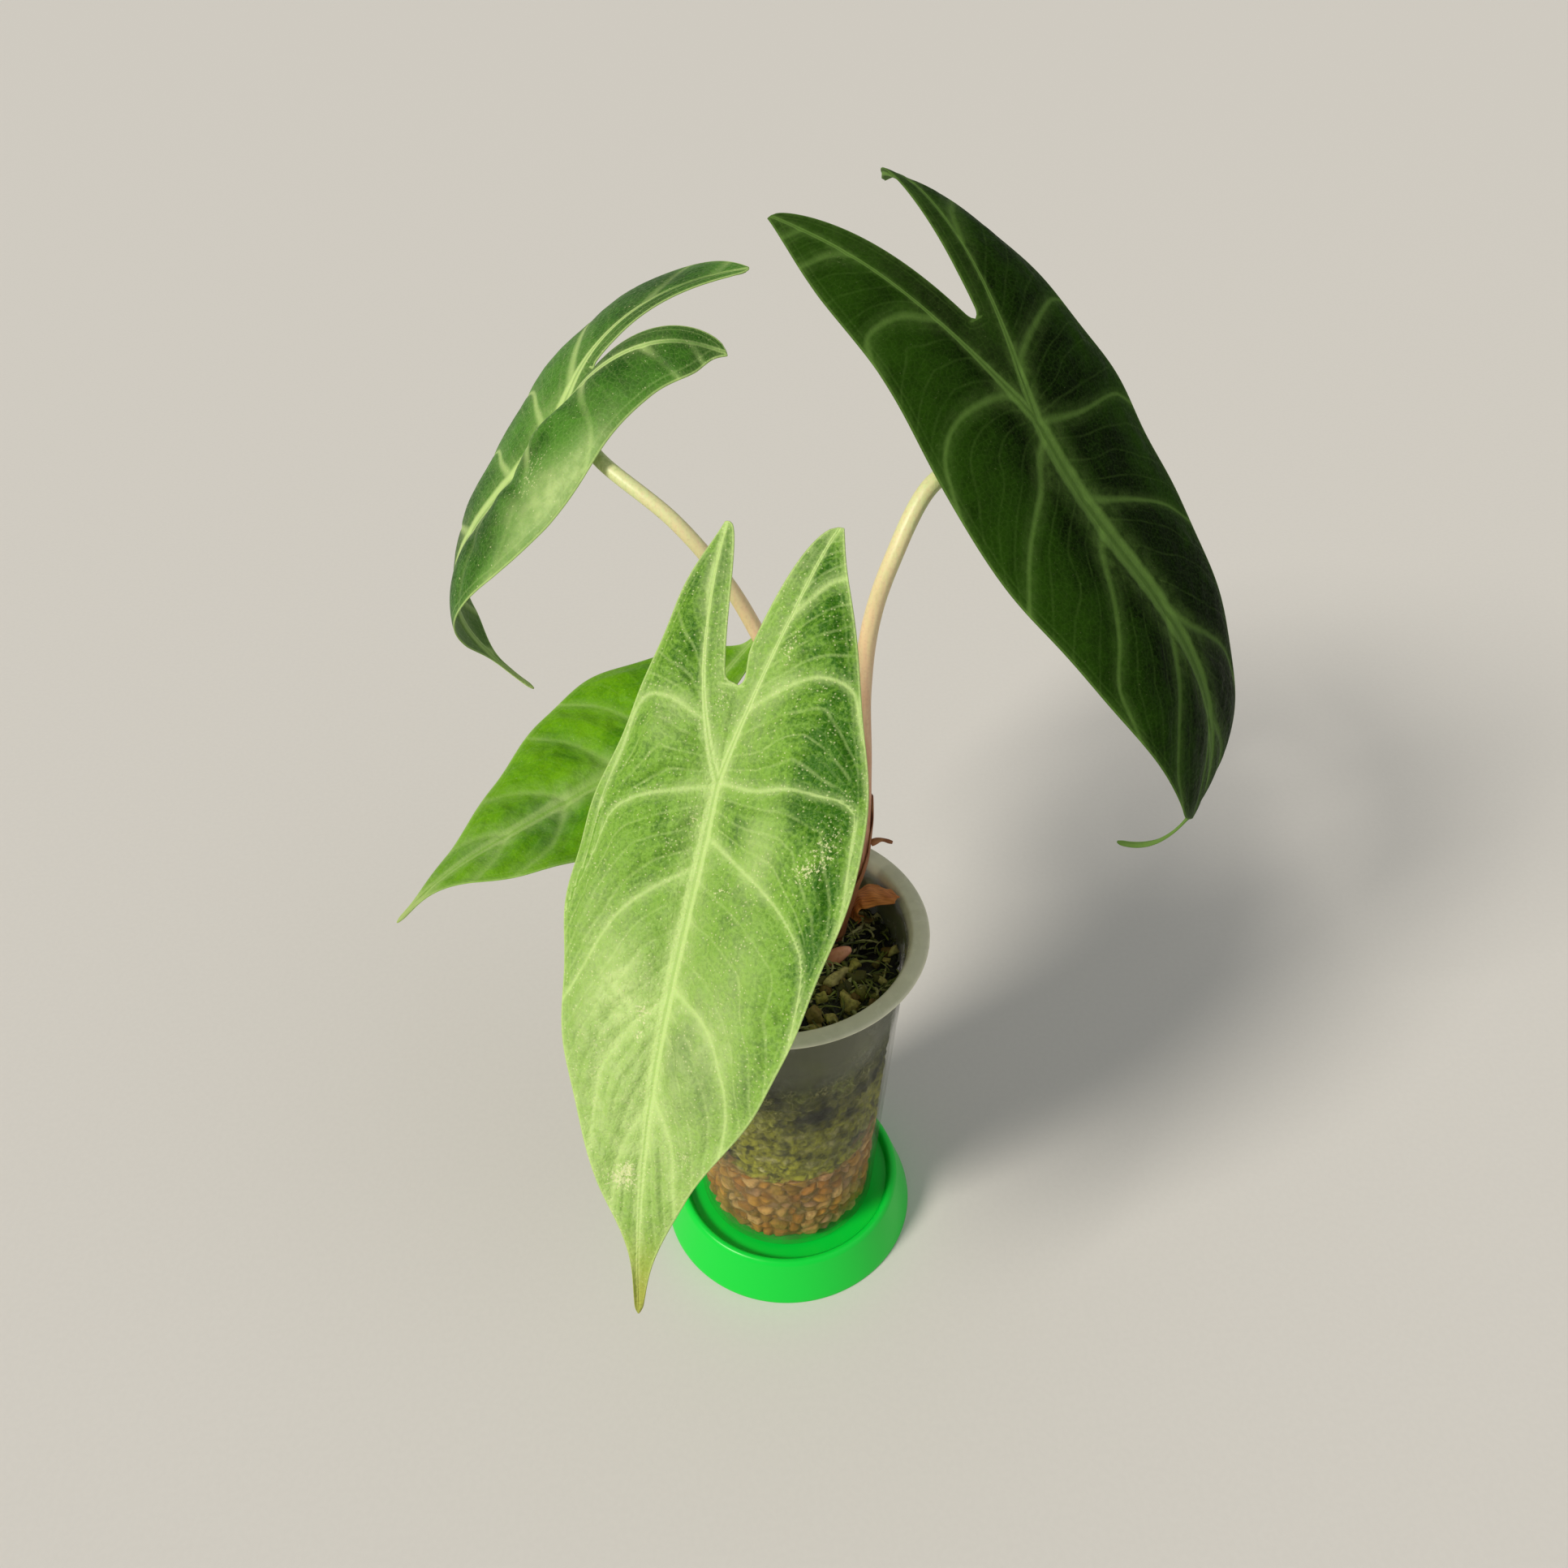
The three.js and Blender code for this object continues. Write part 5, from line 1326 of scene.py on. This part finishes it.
def strip(middle, normal, half_thick, flat):
    """Closed sheet about a grid of middle points: points, faces and places on the flat strip."""
    rows, columns = middle.shape[:2]
    thick = np.full(rows * columns, half_thick)
    points, faces, source = sheet(middle.reshape(-1, 3), normal.reshape(-1, 3), (thick, thick),
                                  grid_faces(rows, columns)[:, ::-1])
    return points, faces, flat.reshape(-1, 2)[source]


def upright_sheath():
    """Sleeve round the foot of the upper right stalk, open at one side. Its half angle falls from
    119 to 9 degrees as (1 - s)^0.6, its free edges are ruffled by a cubed share of their distance
    from the middle, and a torn strip curls off its side."""
    leaf = LEAVES["upper_right"]
    path = stem_path(leaf)[0]
    share = np.linspace(0, 1, 90)[:, None]
    t = 0.04 + 0.25 * share
    centre = follow(path, np.linspace(0, 1, len(path)), t[:, 0])
    spread = math.radians(110) * (1 - share) ** 0.6 + math.radians(9)
    v = np.linspace(-1, 1, 44)
    turn = math.radians(20) + spread * v
    ruffle = (0.28 * np.abs(v) ** 3 * np.sin(share * 34 + 2.2 * v)
              + 0.1 * np.sin(share * 11 + 5 * v))
    radius = stem_radius(leaf, t) + 0.35 + 0.2 * np.sin(share * 9) ** 2 * share + 0.5 * ruffle
    way = np.stack([np.cos(turn), np.sin(turn), 0 * turn], -1)
    middle = centre[:, None] + way * radius[..., None]
    flat = np.stack(np.broadcast_arrays(share * 42, v * 8), -1)
    points, faces, flat = strip(middle, way, 0.14, flat)
    curl = curve_points(((25.4, 14.6, 138.6), (28, 14.6, 139.6), (31, 14, 139)), 30)
    c = np.linspace(0, 1, len(curl))[:, None]
    torn, torn_faces = tube(curl, 0.95 - 0.6 * c + 0.12 * np.sin(9 * c), 12)
    torn_flat = np.column_stack([np.linspace(0, 5, len(torn)), np.zeros(len(torn))])
    return (np.vstack([points, torn]), np.vstack([faces, torn_faces + len(points)])[:, ::-1],
            np.vstack([flat, torn_flat]))


def lying_sheath():
    """Strip carried along a curve that rises and bends over, cupped downwards through 0.9 radians
    to each side, with a wavy edge and a dented face."""
    path = curve_points(((19, 15.5, 108), (20.5, 16, 116), (24, 14.5, 121), (28, 11.5, 122.8),
                         (32, 8.6, 123.6)), 80)
    along = unit(np.gradient(path, axis=0))
    across = unit(np.cross((0, 0, 1), along))
    up = np.cross(along, across)
    share = np.linspace(0, 1, len(path))[:, None]
    v = np.linspace(-1, 1, 40)
    width = smooth_through((0, 0.35, 0.7, 1), (3.2, 5.9, 5.2, 1.5), share)
    width = width * (1 + 0.06 * np.sin(share * 23 + 2 * v))
    angle = 0.9 * v[None, :, None]
    normal = across[:, None] * np.sin(angle) + up[:, None] * np.cos(angle)
    dent = 0.3 * np.sin(share * 16) * np.abs(v) + 0.14 * np.sin(share * 31 + 7 * v)
    middle = (path[:, None] + (normal - up[:, None]) * (width / 0.9)[..., None]
              + normal * dent[..., None])
    return strip(middle, normal, 0.2, np.stack(np.broadcast_arrays(share * 24, v * 5), -1))


def rolled_shoot():
    """Rolled leaf whose radius falls as the root of 1 - t^2.2, with a groove that winds along it
    as its seam. Returns points, faces and each point's share of the way."""
    sides = 30
    path = curve_points(((12.5, -0.5, 103.7), (13.3, -1.2, 110), (16, -2.5, 114.5),
                         (19, -3, 117)), 70)
    t = np.linspace(0, 1, len(path))[:, None]
    from_seam = np.mod(ring_turns(sides) - 1.2 - 1.5 * t + np.pi, 2 * np.pi) - np.pi
    seam = 1 - 0.13 * np.exp(-(from_seam / 0.3) ** 2)
    points, faces = tube(path, (2.4 * np.sqrt(1 - t**2.2) + 0.3) * seam, sides)
    return points, faces, np.concatenate([np.repeat(t[:, 0], sides), [0, 1]])


class ALOCASIA_OT_sheaths(bpy.types.Operator):
    """Makes the two dry sheaths and the new shoot"""

    bl_idname = "alocasia.sheaths"
    bl_label = "Sheaths and shoot"

    def execute(self, context):
        s = context.scene.alocasia_stems
        brown = sheath_material("dry brown sheath", hex_colour("#B87C4C"), s.sheath_dark)
        orange = sheath_material("dry orange sheath", s.sheath_light, hex_colour("#B4622E"))
        points, faces, flat = upright_sheath()
        piece = make_piece("dry_sheath_upright", points, faces, brown, uv=flat)
        finish_piece(piece, "sheath_upright")
        points, faces, flat = lying_sheath()
        piece = make_piece("dry_sheath_lying", points, faces, orange, uv=flat)
        finish_piece(piece, "sheath_lying")
        points, faces, along = rolled_shoot()
        piece = make_piece("rolled_shoot", points, faces, shoot_material(s), {"along": along},
                           flip=True)
        finish_piece(piece, "new_shoot")
        return {"FINISHED"}


def wall_inside(z):
    """Radius of the pot's inner wall at height z, a straight taper."""
    return 25.7 + 7.8 * (z - POT_BASE) / (POT_NECK - POT_BASE)


def bed_height(x, y):
    """Height of the moss: a low mound, lumps of two sizes, and a hollow beside the crown."""
    p = np.stack([x, y, 0 * x], -1)
    r = np.hypot(x, y) / 33
    hollow = 4.2 * np.exp(-(((x - HOLLOW[0]) / 5) ** 2) - ((y - HOLLOW[1]) / 6) ** 2)
    lumps = 2.2 * (noise(p, 6.5, 2) - 0.5) + 1.1 * (noise(p, 2.4, 7) - 0.5)
    return MOSS_EDGE + 2.6 * (1 - r**2) + lumps - hollow


def filled_column(low, high, rows, top, seed, size, deep, dark):
    """Filling against the wall: rings up the side, pushed in between grains of the given size by
    up to deep, then rings in over the top surface to its centre. dark is how much shade is
    painted between the grains on the side; over the top it is painted at 0.8."""
    turn = ring_turns(WALL_SIDES)
    round_x, round_y = np.cos(turn), np.sin(turn)
    z = np.linspace(low, high, rows)[:, None] + 0 * turn
    wall = wall_inside(z) - WALL_GAP
    place = np.stack([wall * round_x, wall * round_y, z], -1)
    bent = place + 3.2 * np.stack([noise(place, 5.5, seed + k) - 0.5 for k in (4, 5, 6)], -1)
    first, second, mark = cells(bent, size, seed)
    hole = 1 - ease(second - first, 0.0, 0.42)
    r = wall - deep * hole - 0.5 * noise(place, 1.6, seed)
    side = np.stack([r * round_x, r * round_y, z], -1)
    hole = hole * ease(z, low + 0.01, low + 1.5) * ease(z, high, high - 1.5)
    reach = (wall_inside(high) - 1.2) * np.linspace(1, 0, 60)[1:, None]
    rx, ry = reach * round_x, reach * round_y
    lid = np.stack([rx, ry, top(rx, ry)], -1)
    foot = side[:1] * np.array([0.0, 0.0, 1.0])
    points = np.vstack([foot.reshape(-1, 3), side.reshape(-1, 3), lid.reshape(-1, 3)])
    rings = 1 + rows + len(reach)
    faces = closed_ends(grid_faces(rings, WALL_SIDES, around=True), rings, WALL_SIDES)
    first, second, lid_mark = cells(lid, size, seed)
    lid_shade_mask = 1 - ease(second - first, 0, 0.5)
    none = np.zeros(WALL_SIDES)
    # Painted shade between grains: on the side where they are pushed in, and over the flat top
    depth = np.concatenate([none, (dark * hole).ravel(), (0.8 * lid_shade_mask).ravel()])
    return points, faces, {"depth": depth,
                           "mark": np.concatenate([none, mark.ravel(), lid_mark.ravel()])}


def strewn(draw, count, radius):
    """Places drawn evenly over a disc."""
    reach = np.sqrt(draw.random(count)) * radius
    turn = draw.random(count) * 2 * np.pi
    return reach * np.cos(turn), reach * np.sin(turn)


def copies(faces, count, size):
    """The faces of count equal bodies, each with its own size points."""
    return (faces[None] + (np.arange(count) * size)[:, None, None]).reshape(-1, 4)


def chips(draw, count):
    """Chips on the moss: those that the photograph shows, and others drawn at random outside the
    hollow. The radius in each direction is (sum over planes of (direction . normal /
    distance)^9)^(-1/9), so the flat faces meet in worn edges; then each chip is stretched,
    turned and roughened."""
    x, y = strewn(draw, count, 30.5)
    size = 0.7 + 1.5 * draw.random(count) ** 2.2
    keep = np.hypot((x - HOLLOW[0]) / 6, (y - HOLLOW[1]) / 7) > 1
    x = np.concatenate([SEEN_CHIPS[:, 0], x[keep]])
    y = np.concatenate([SEEN_CHIPS[:, 1], y[keep]])
    size = np.concatenate([SEEN_CHIPS[:, 2], size[keep]])
    count = len(x)
    rings, sides, faceted = 11, 16, 9
    u = np.linspace(0, np.pi, rings)[:, None]
    v = ring_turns(sides)
    ball = np.stack([np.sin(u) * np.cos(v), np.sin(u) * np.sin(v), np.cos(u) + 0 * v], -1)
    ball = ball.reshape(-1, 3)
    box = np.vstack([np.eye(3), -np.eye(3)])[[0, 3, 1, 4, 2, 5]]
    planes = np.concatenate([unit(draw.normal(size=(count, faceted, 3))),
                             np.broadcast_to(box, (count, 6, 3))], axis=1)
    apart = 0.72 + 0.36 * draw.random((count, faceted + 6))
    facing = np.maximum(np.einsum("vk,cpk->cvp", ball, planes), 0) / apart[:, None]
    shape = ball[None] * ((facing**9).sum(-1) ** (-1 / 9))[..., None]
    stretch = 0.7 + 0.55 * draw.random((count, 3))
    stretch[:2] = LONG_CHIPS[:, :3]
    where = np.stack([x, y, bed_height(x, y)], -1)
    shape = shape * stretch[:, None] * size[:, None, None]
    yaw = draw.random(count) * 2 * np.pi
    yaw[:2] = LONG_CHIPS[:, 3]
    cos, sin = np.cos(yaw)[:, None], np.sin(yaw)[:, None]
    shape = np.stack([shape[..., 0] * cos - shape[..., 1] * sin,
                      shape[..., 0] * sin + shape[..., 1] * cos, shape[..., 2]], -1)
    where[:, 2] += 0.25 * size
    shape = shape * (1 + 0.8 * (noise(shape + 7 * where[:, None], 1.2, 5) - 0.5))[..., None]
    lot = draw.random(count)
    lot[:len(SEEN_CHIPS)] = SEEN_CHIPS[:, 3]
    faces = closed_ends(grid_faces(rings, sides, around=True), rings, sides)
    return ((shape + where[:, None]).reshape(-1, 3), copies(faces, count, len(ball)),
            {"mark": np.repeat(lot, len(ball)), "depth": np.zeros(count * len(ball))})


def threads(draw, count):
    """Moss threads: four-sided tubes along arcs of height 4 t (1 - 0.8 t) that rise, lean over
    and sink again, with leaflets that swell every other ring."""
    rings, sides = 8, 4
    x, y = strewn(draw, count, 31)
    foot = np.stack([x, y, bed_height(x, y) - 0.6], -1)
    lean = draw.random(count) * 2 * np.pi
    long = 3 + 6 * draw.random(count)
    rise = 0.5 + 1.6 * draw.random(count)
    t = np.linspace(0, 1, rings)
    swing = 0.8 * np.sin(t * 4)[None] * (draw.random(count) - 0.5)[:, None]
    way = np.stack([np.cos(lean), np.sin(lean), 0 * lean], -1)
    flank = np.stack([-np.sin(lean), np.cos(lean), 0 * lean], -1)
    centre = (foot[:, None] + way[:, None] * (long[:, None] * t)[..., None]
              + flank[:, None] * (long[:, None] * swing * 0.4)[..., None])
    centre[..., 2] += rise[:, None] * 4 * t * (1 - 0.8 * t)
    # A thread that would pass through the wall is bent back along it
    far = np.hypot(centre[..., 0], centre[..., 1])
    centre[..., :2] *= np.minimum(1, 32.2 / np.maximum(far, 1e-6))[..., None]
    side = ring_turns(sides)[:, None]
    thick = (0.4 * (1 - 0.6 * t))[None, :, None] * (0.5 + draw.random(count) ** 2)[:, None, None]
    thick = thick * (1 + 0.9 * (np.arange(rings) % 2))[None, :, None]
    ring = flank[:, None, None] * np.cos(side) + np.array([0, 0, 1.0]) * np.sin(side)
    points = (centre[:, :, None] + ring * thick[..., None]).reshape(count, -1, 3)
    points = np.concatenate([points, centre[:, :1], centre[:, -1:]], axis=1)
    each = points.shape[1]
    along = np.tile(np.concatenate([np.repeat(t, sides), [0, 1]]), count)
    marks = np.repeat(draw.random(count), each)
    return (points.reshape(-1, 3), copies(tube_faces(rings, sides), count, each),
            {"along": along, "mark": marks})


class ALOCASIA_OT_filling(bpy.types.Operator):
    """Makes the clay granules, the moss bed, its threads and the granules on it"""

    bl_idname = "alocasia.filling"
    bl_label = "Filling"

    def execute(self, context):
        s = context.scene.alocasia_filling
        draw = np.random.default_rng(12)
        clay = grains_material("baked clay granules", CLAY_COLOURS, 0.85, "#9A6C36")
        column = filled_column(GRANULES_LOW, GRANULES_TOP, 64, lambda x, y: GRANULES_TOP + 0 * x,
                               1, 4.4, 1.0, 0.5)
        piece = make_piece("baked_clay_granules", *column[:2], clay, column[2])
        finish_piece(piece, "clay_granules")
        column = filled_column(GRANULES_TOP + 0.3, MOSS_EDGE, 120, bed_height, 9, 3.6, 0.7, 0.25)
        piece = make_piece("moss_bed", *column[:2], moss_material(s), column[2])
        finish_piece(piece, "moss")
        points, faces, marks = chips(draw, s.stones)
        stones = grains_material("pumice and clay chips", CHIP_COLOURS, 0.75, "#403C14")
        piece = make_piece("surface_granules", points, faces, stones, marks, flip=True)
        finish_piece(piece, "moss")
        points, faces, marks = threads(draw, s.fronds)
        piece = make_piece("moss_threads", points, faces, frond_material(s), marks)
        finish_piece(piece, "moss")
        # The corm stays hidden in the moss and keeps its solid: a brown, ringed and fibrous skin
        bark = grains_material("corm and root skin", CORM_COLOURS, 0.8, "#4E3826")
        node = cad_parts["corm"]
        node.data.materials.clear()
        node.data.materials.append(bark)
        return {"FINISHED"}


class ALOCASIA_OT_pot(bpy.types.Operator):
    """Makes the clear pot"""

    bl_idname = "alocasia.pot"
    bl_label = "Pot"

    def execute(self, context):
        base, neck, rim, top = 26.6, 34.4, 40.0, 123.2
        profile = ((0, POT_BASE + 1), (22.4, POT_BASE + 1), (22.9, POT_BASE),
                   (base - 0.7, POT_BASE), (base, POT_BASE + 0.9), (neck, POT_NECK),
                   (neck + 1.1, top - 1.5), (rim - 0.7, top - 1.6), (rim, top - 1),
                   (rim - 0.5, top - 0.3), (rim - 2.2, top), (neck + 0.9, top - 0.2),
                   (neck + 0.1, top - 1.7), (neck - 0.9, POT_NECK), (base - 0.9, POT_BASE + 1.9),
                   (base - 1.5, POT_BASE + 1), (23.3, POT_BASE + 1), (22.8, POT_BASE + 2),
                   (0, POT_BASE + 2))
        points, faces = turned(profile, 160, 0.6)
        outside = base + (neck - base) * (points[:, 2] - POT_BASE) / (POT_NECK - POT_BASE)
        inner = np.hypot(points[:, 0], points[:, 1]) < outside - 0.45
        material = pot_material(context.scene.alocasia_vessels)
        piece = make_piece("clear_pot", points, faces, material, {"inner": inner})
        finish_piece(piece, "pot")
        return {"FINISHED"}


class ALOCASIA_OT_saucer(bpy.types.Operator):
    """Makes the green saucer"""

    bl_idname = "alocasia.saucer"
    bl_label = "Saucer"

    def execute(self, context):
        rim, seat, floor, high, wall = 38.4, 31.3, 12.0, 15.0, 1.6
        profile = ((0, floor - wall), (seat + 0.9, floor - wall), (seat + 1.5, high - 2.4),
                   (rim - wall, 0), (rim, 0), (rim - 0.3, 1.6), (seat + 3, high - 1.2),
                   (seat + 2.2, high - 0.2), (seat + 1.1, high), (seat + 0.3, high - 0.8),
                   (seat, floor), (0, floor))
        points, faces = turned(profile, 160, 0.5)
        material = saucer_material(context.scene.alocasia_vessels)
        piece = make_piece("green_saucer", points, faces, material)
        finish_piece(piece, "saucer")
        return {"FINISHED"}


def sun(name, place, spread, power, colour):
    """Even light from the direction of a place, softer the more degrees it spreads."""
    light = bpy.data.lights.new(name, "SUN")
    light.angle = math.radians(spread)
    light.energy = power
    light.color = hex_colour(colour)
    item = bpy.data.objects.new(name, light)
    item.location = place
    item.rotation_euler = Vector(place).to_track_quat("Z", "Y").to_euler()
    bpy.context.scene.collection.objects.link(item)


class ALOCASIA_OT_stage(bpy.types.Operator):
    """Makes the floor, the lamps and the camera"""

    bl_idname = "alocasia.stage"
    bl_label = "Stage"

    def execute(self, context):
        s = context.scene.alocasia_stage
        material, node, finish = new_material("matt painted board")
        grain = node("span", node("noise", node("object"), 600, 3), 0.3, 0.7, 0, 0.06)
        finish({"Base Color": node("mix", grain, s.floor, hex_colour("#B8B6B0")),
                "Roughness": 0.85})
        corners = [(-6000, -4000, 0), (6000, -4000, 0), (6000, 9000, 0), (-6000, 9000, 0)]
        floor = make_piece("floor", np.array(corners, float), np.arange(4)[None], material)

        sun("key", (-1.0, -0.7, 1.0), 16, s.key, "#FFF8EE")
        sun("fill", (1.2, -0.6, 1.0), 60, s.fill, "#F2F5FF")
        world = bpy.data.worlds.new("studio")
        world.use_nodes = True
        sky = world.node_tree.nodes["Background"]
        sky.inputs["Color"].default_value = (0.9, 0.9, 0.88, 1)
        sky.inputs["Strength"].default_value = 0.36
        context.scene.world = world
        # Plain colours, as the hex values give them
        context.scene.view_settings.view_transform = "Standard"

        turn, down, lean = (math.radians(angle) for angle in CAMERA_ANGLES)
        ahead = Vector((math.sin(turn) * math.cos(down), math.cos(turn) * math.cos(down),
                        -math.sin(down)))
        level = Vector((math.cos(turn), -math.sin(turn), 0))
        steep = level.cross(ahead)
        right = level * math.cos(lean) + steep * math.sin(lean)
        top = steep * math.cos(lean) - level * math.sin(lean)
        data = bpy.data.cameras.new("camera")
        data.sensor_fit = "HORIZONTAL"
        data.sensor_width = 36
        data.lens = data.sensor_width * FOCAL_PIXELS / PHOTO_PIXELS
        data.clip_start = 0.01
        data.clip_end = 50
        camera = bpy.data.objects.new("camera", data)
        spot = (CAMERA_PLACE + POT_AXIS) * MM
        rows = [(right[k], top[k], -ahead[k], spot[k]) for k in range(3)]
        camera.matrix_world = Matrix(rows + [(0, 0, 0, 1)])
        context.scene.collection.objects.link(camera)
        context.scene.camera = camera
        return {"FINISHED"}


SETTINGS = (("alocasia_blades", BladeSettings), ("alocasia_stems", StemSettings),
            ("alocasia_filling", FillingSettings), ("alocasia_vessels", VesselSettings),
            ("alocasia_stage", StageSettings))
OPERATORS = (ALOCASIA_OT_saucer, ALOCASIA_OT_pot, ALOCASIA_OT_filling, ALOCASIA_OT_stems,
             ALOCASIA_OT_sheaths, ALOCASIA_OT_blades, ALOCASIA_OT_stage)


class ALOCASIA_PT_panel(bpy.types.Panel):
    """Lists the pieces and their settings"""

    bl_label = "Alocasia"
    bl_idname = "ALOCASIA_PT_panel"
    bl_space_type = "VIEW_3D"
    bl_region_type = "UI"
    bl_category = "Alocasia"

    def draw(self, context):
        for operator in OPERATORS:
            self.layout.operator(operator.bl_idname)
        for name, group in SETTINGS:
            box = self.layout.box()
            box.label(text=group.__doc__)
            for key in group.__annotations__:
                box.prop(getattr(context.scene, name), key)


def register():
    for name, group in SETTINGS:
        bpy.utils.register_class(group)
        setattr(bpy.types.Scene, name, PointerProperty(type=group))
    for operator in OPERATORS:
        bpy.utils.register_class(operator)
    bpy.utils.register_class(ALOCASIA_PT_panel)


def unregister():
    bpy.utils.unregister_class(ALOCASIA_PT_panel)
    for operator in reversed(OPERATORS):
        bpy.utils.unregister_class(operator)
    for name, group in reversed(SETTINGS):
        delattr(bpy.types.Scene, name)
        bpy.utils.unregister_class(group)


def main():
    """Registers the add-on and makes the stage and every piece."""
    register()
    bpy.ops.alocasia.stage()
    bpy.ops.alocasia.saucer()
    bpy.ops.alocasia.pot()
    bpy.ops.alocasia.filling()
    bpy.ops.alocasia.stems()
    bpy.ops.alocasia.sheaths()
    bpy.ops.alocasia.blades()
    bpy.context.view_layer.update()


if __name__ == "__main__":
    main()
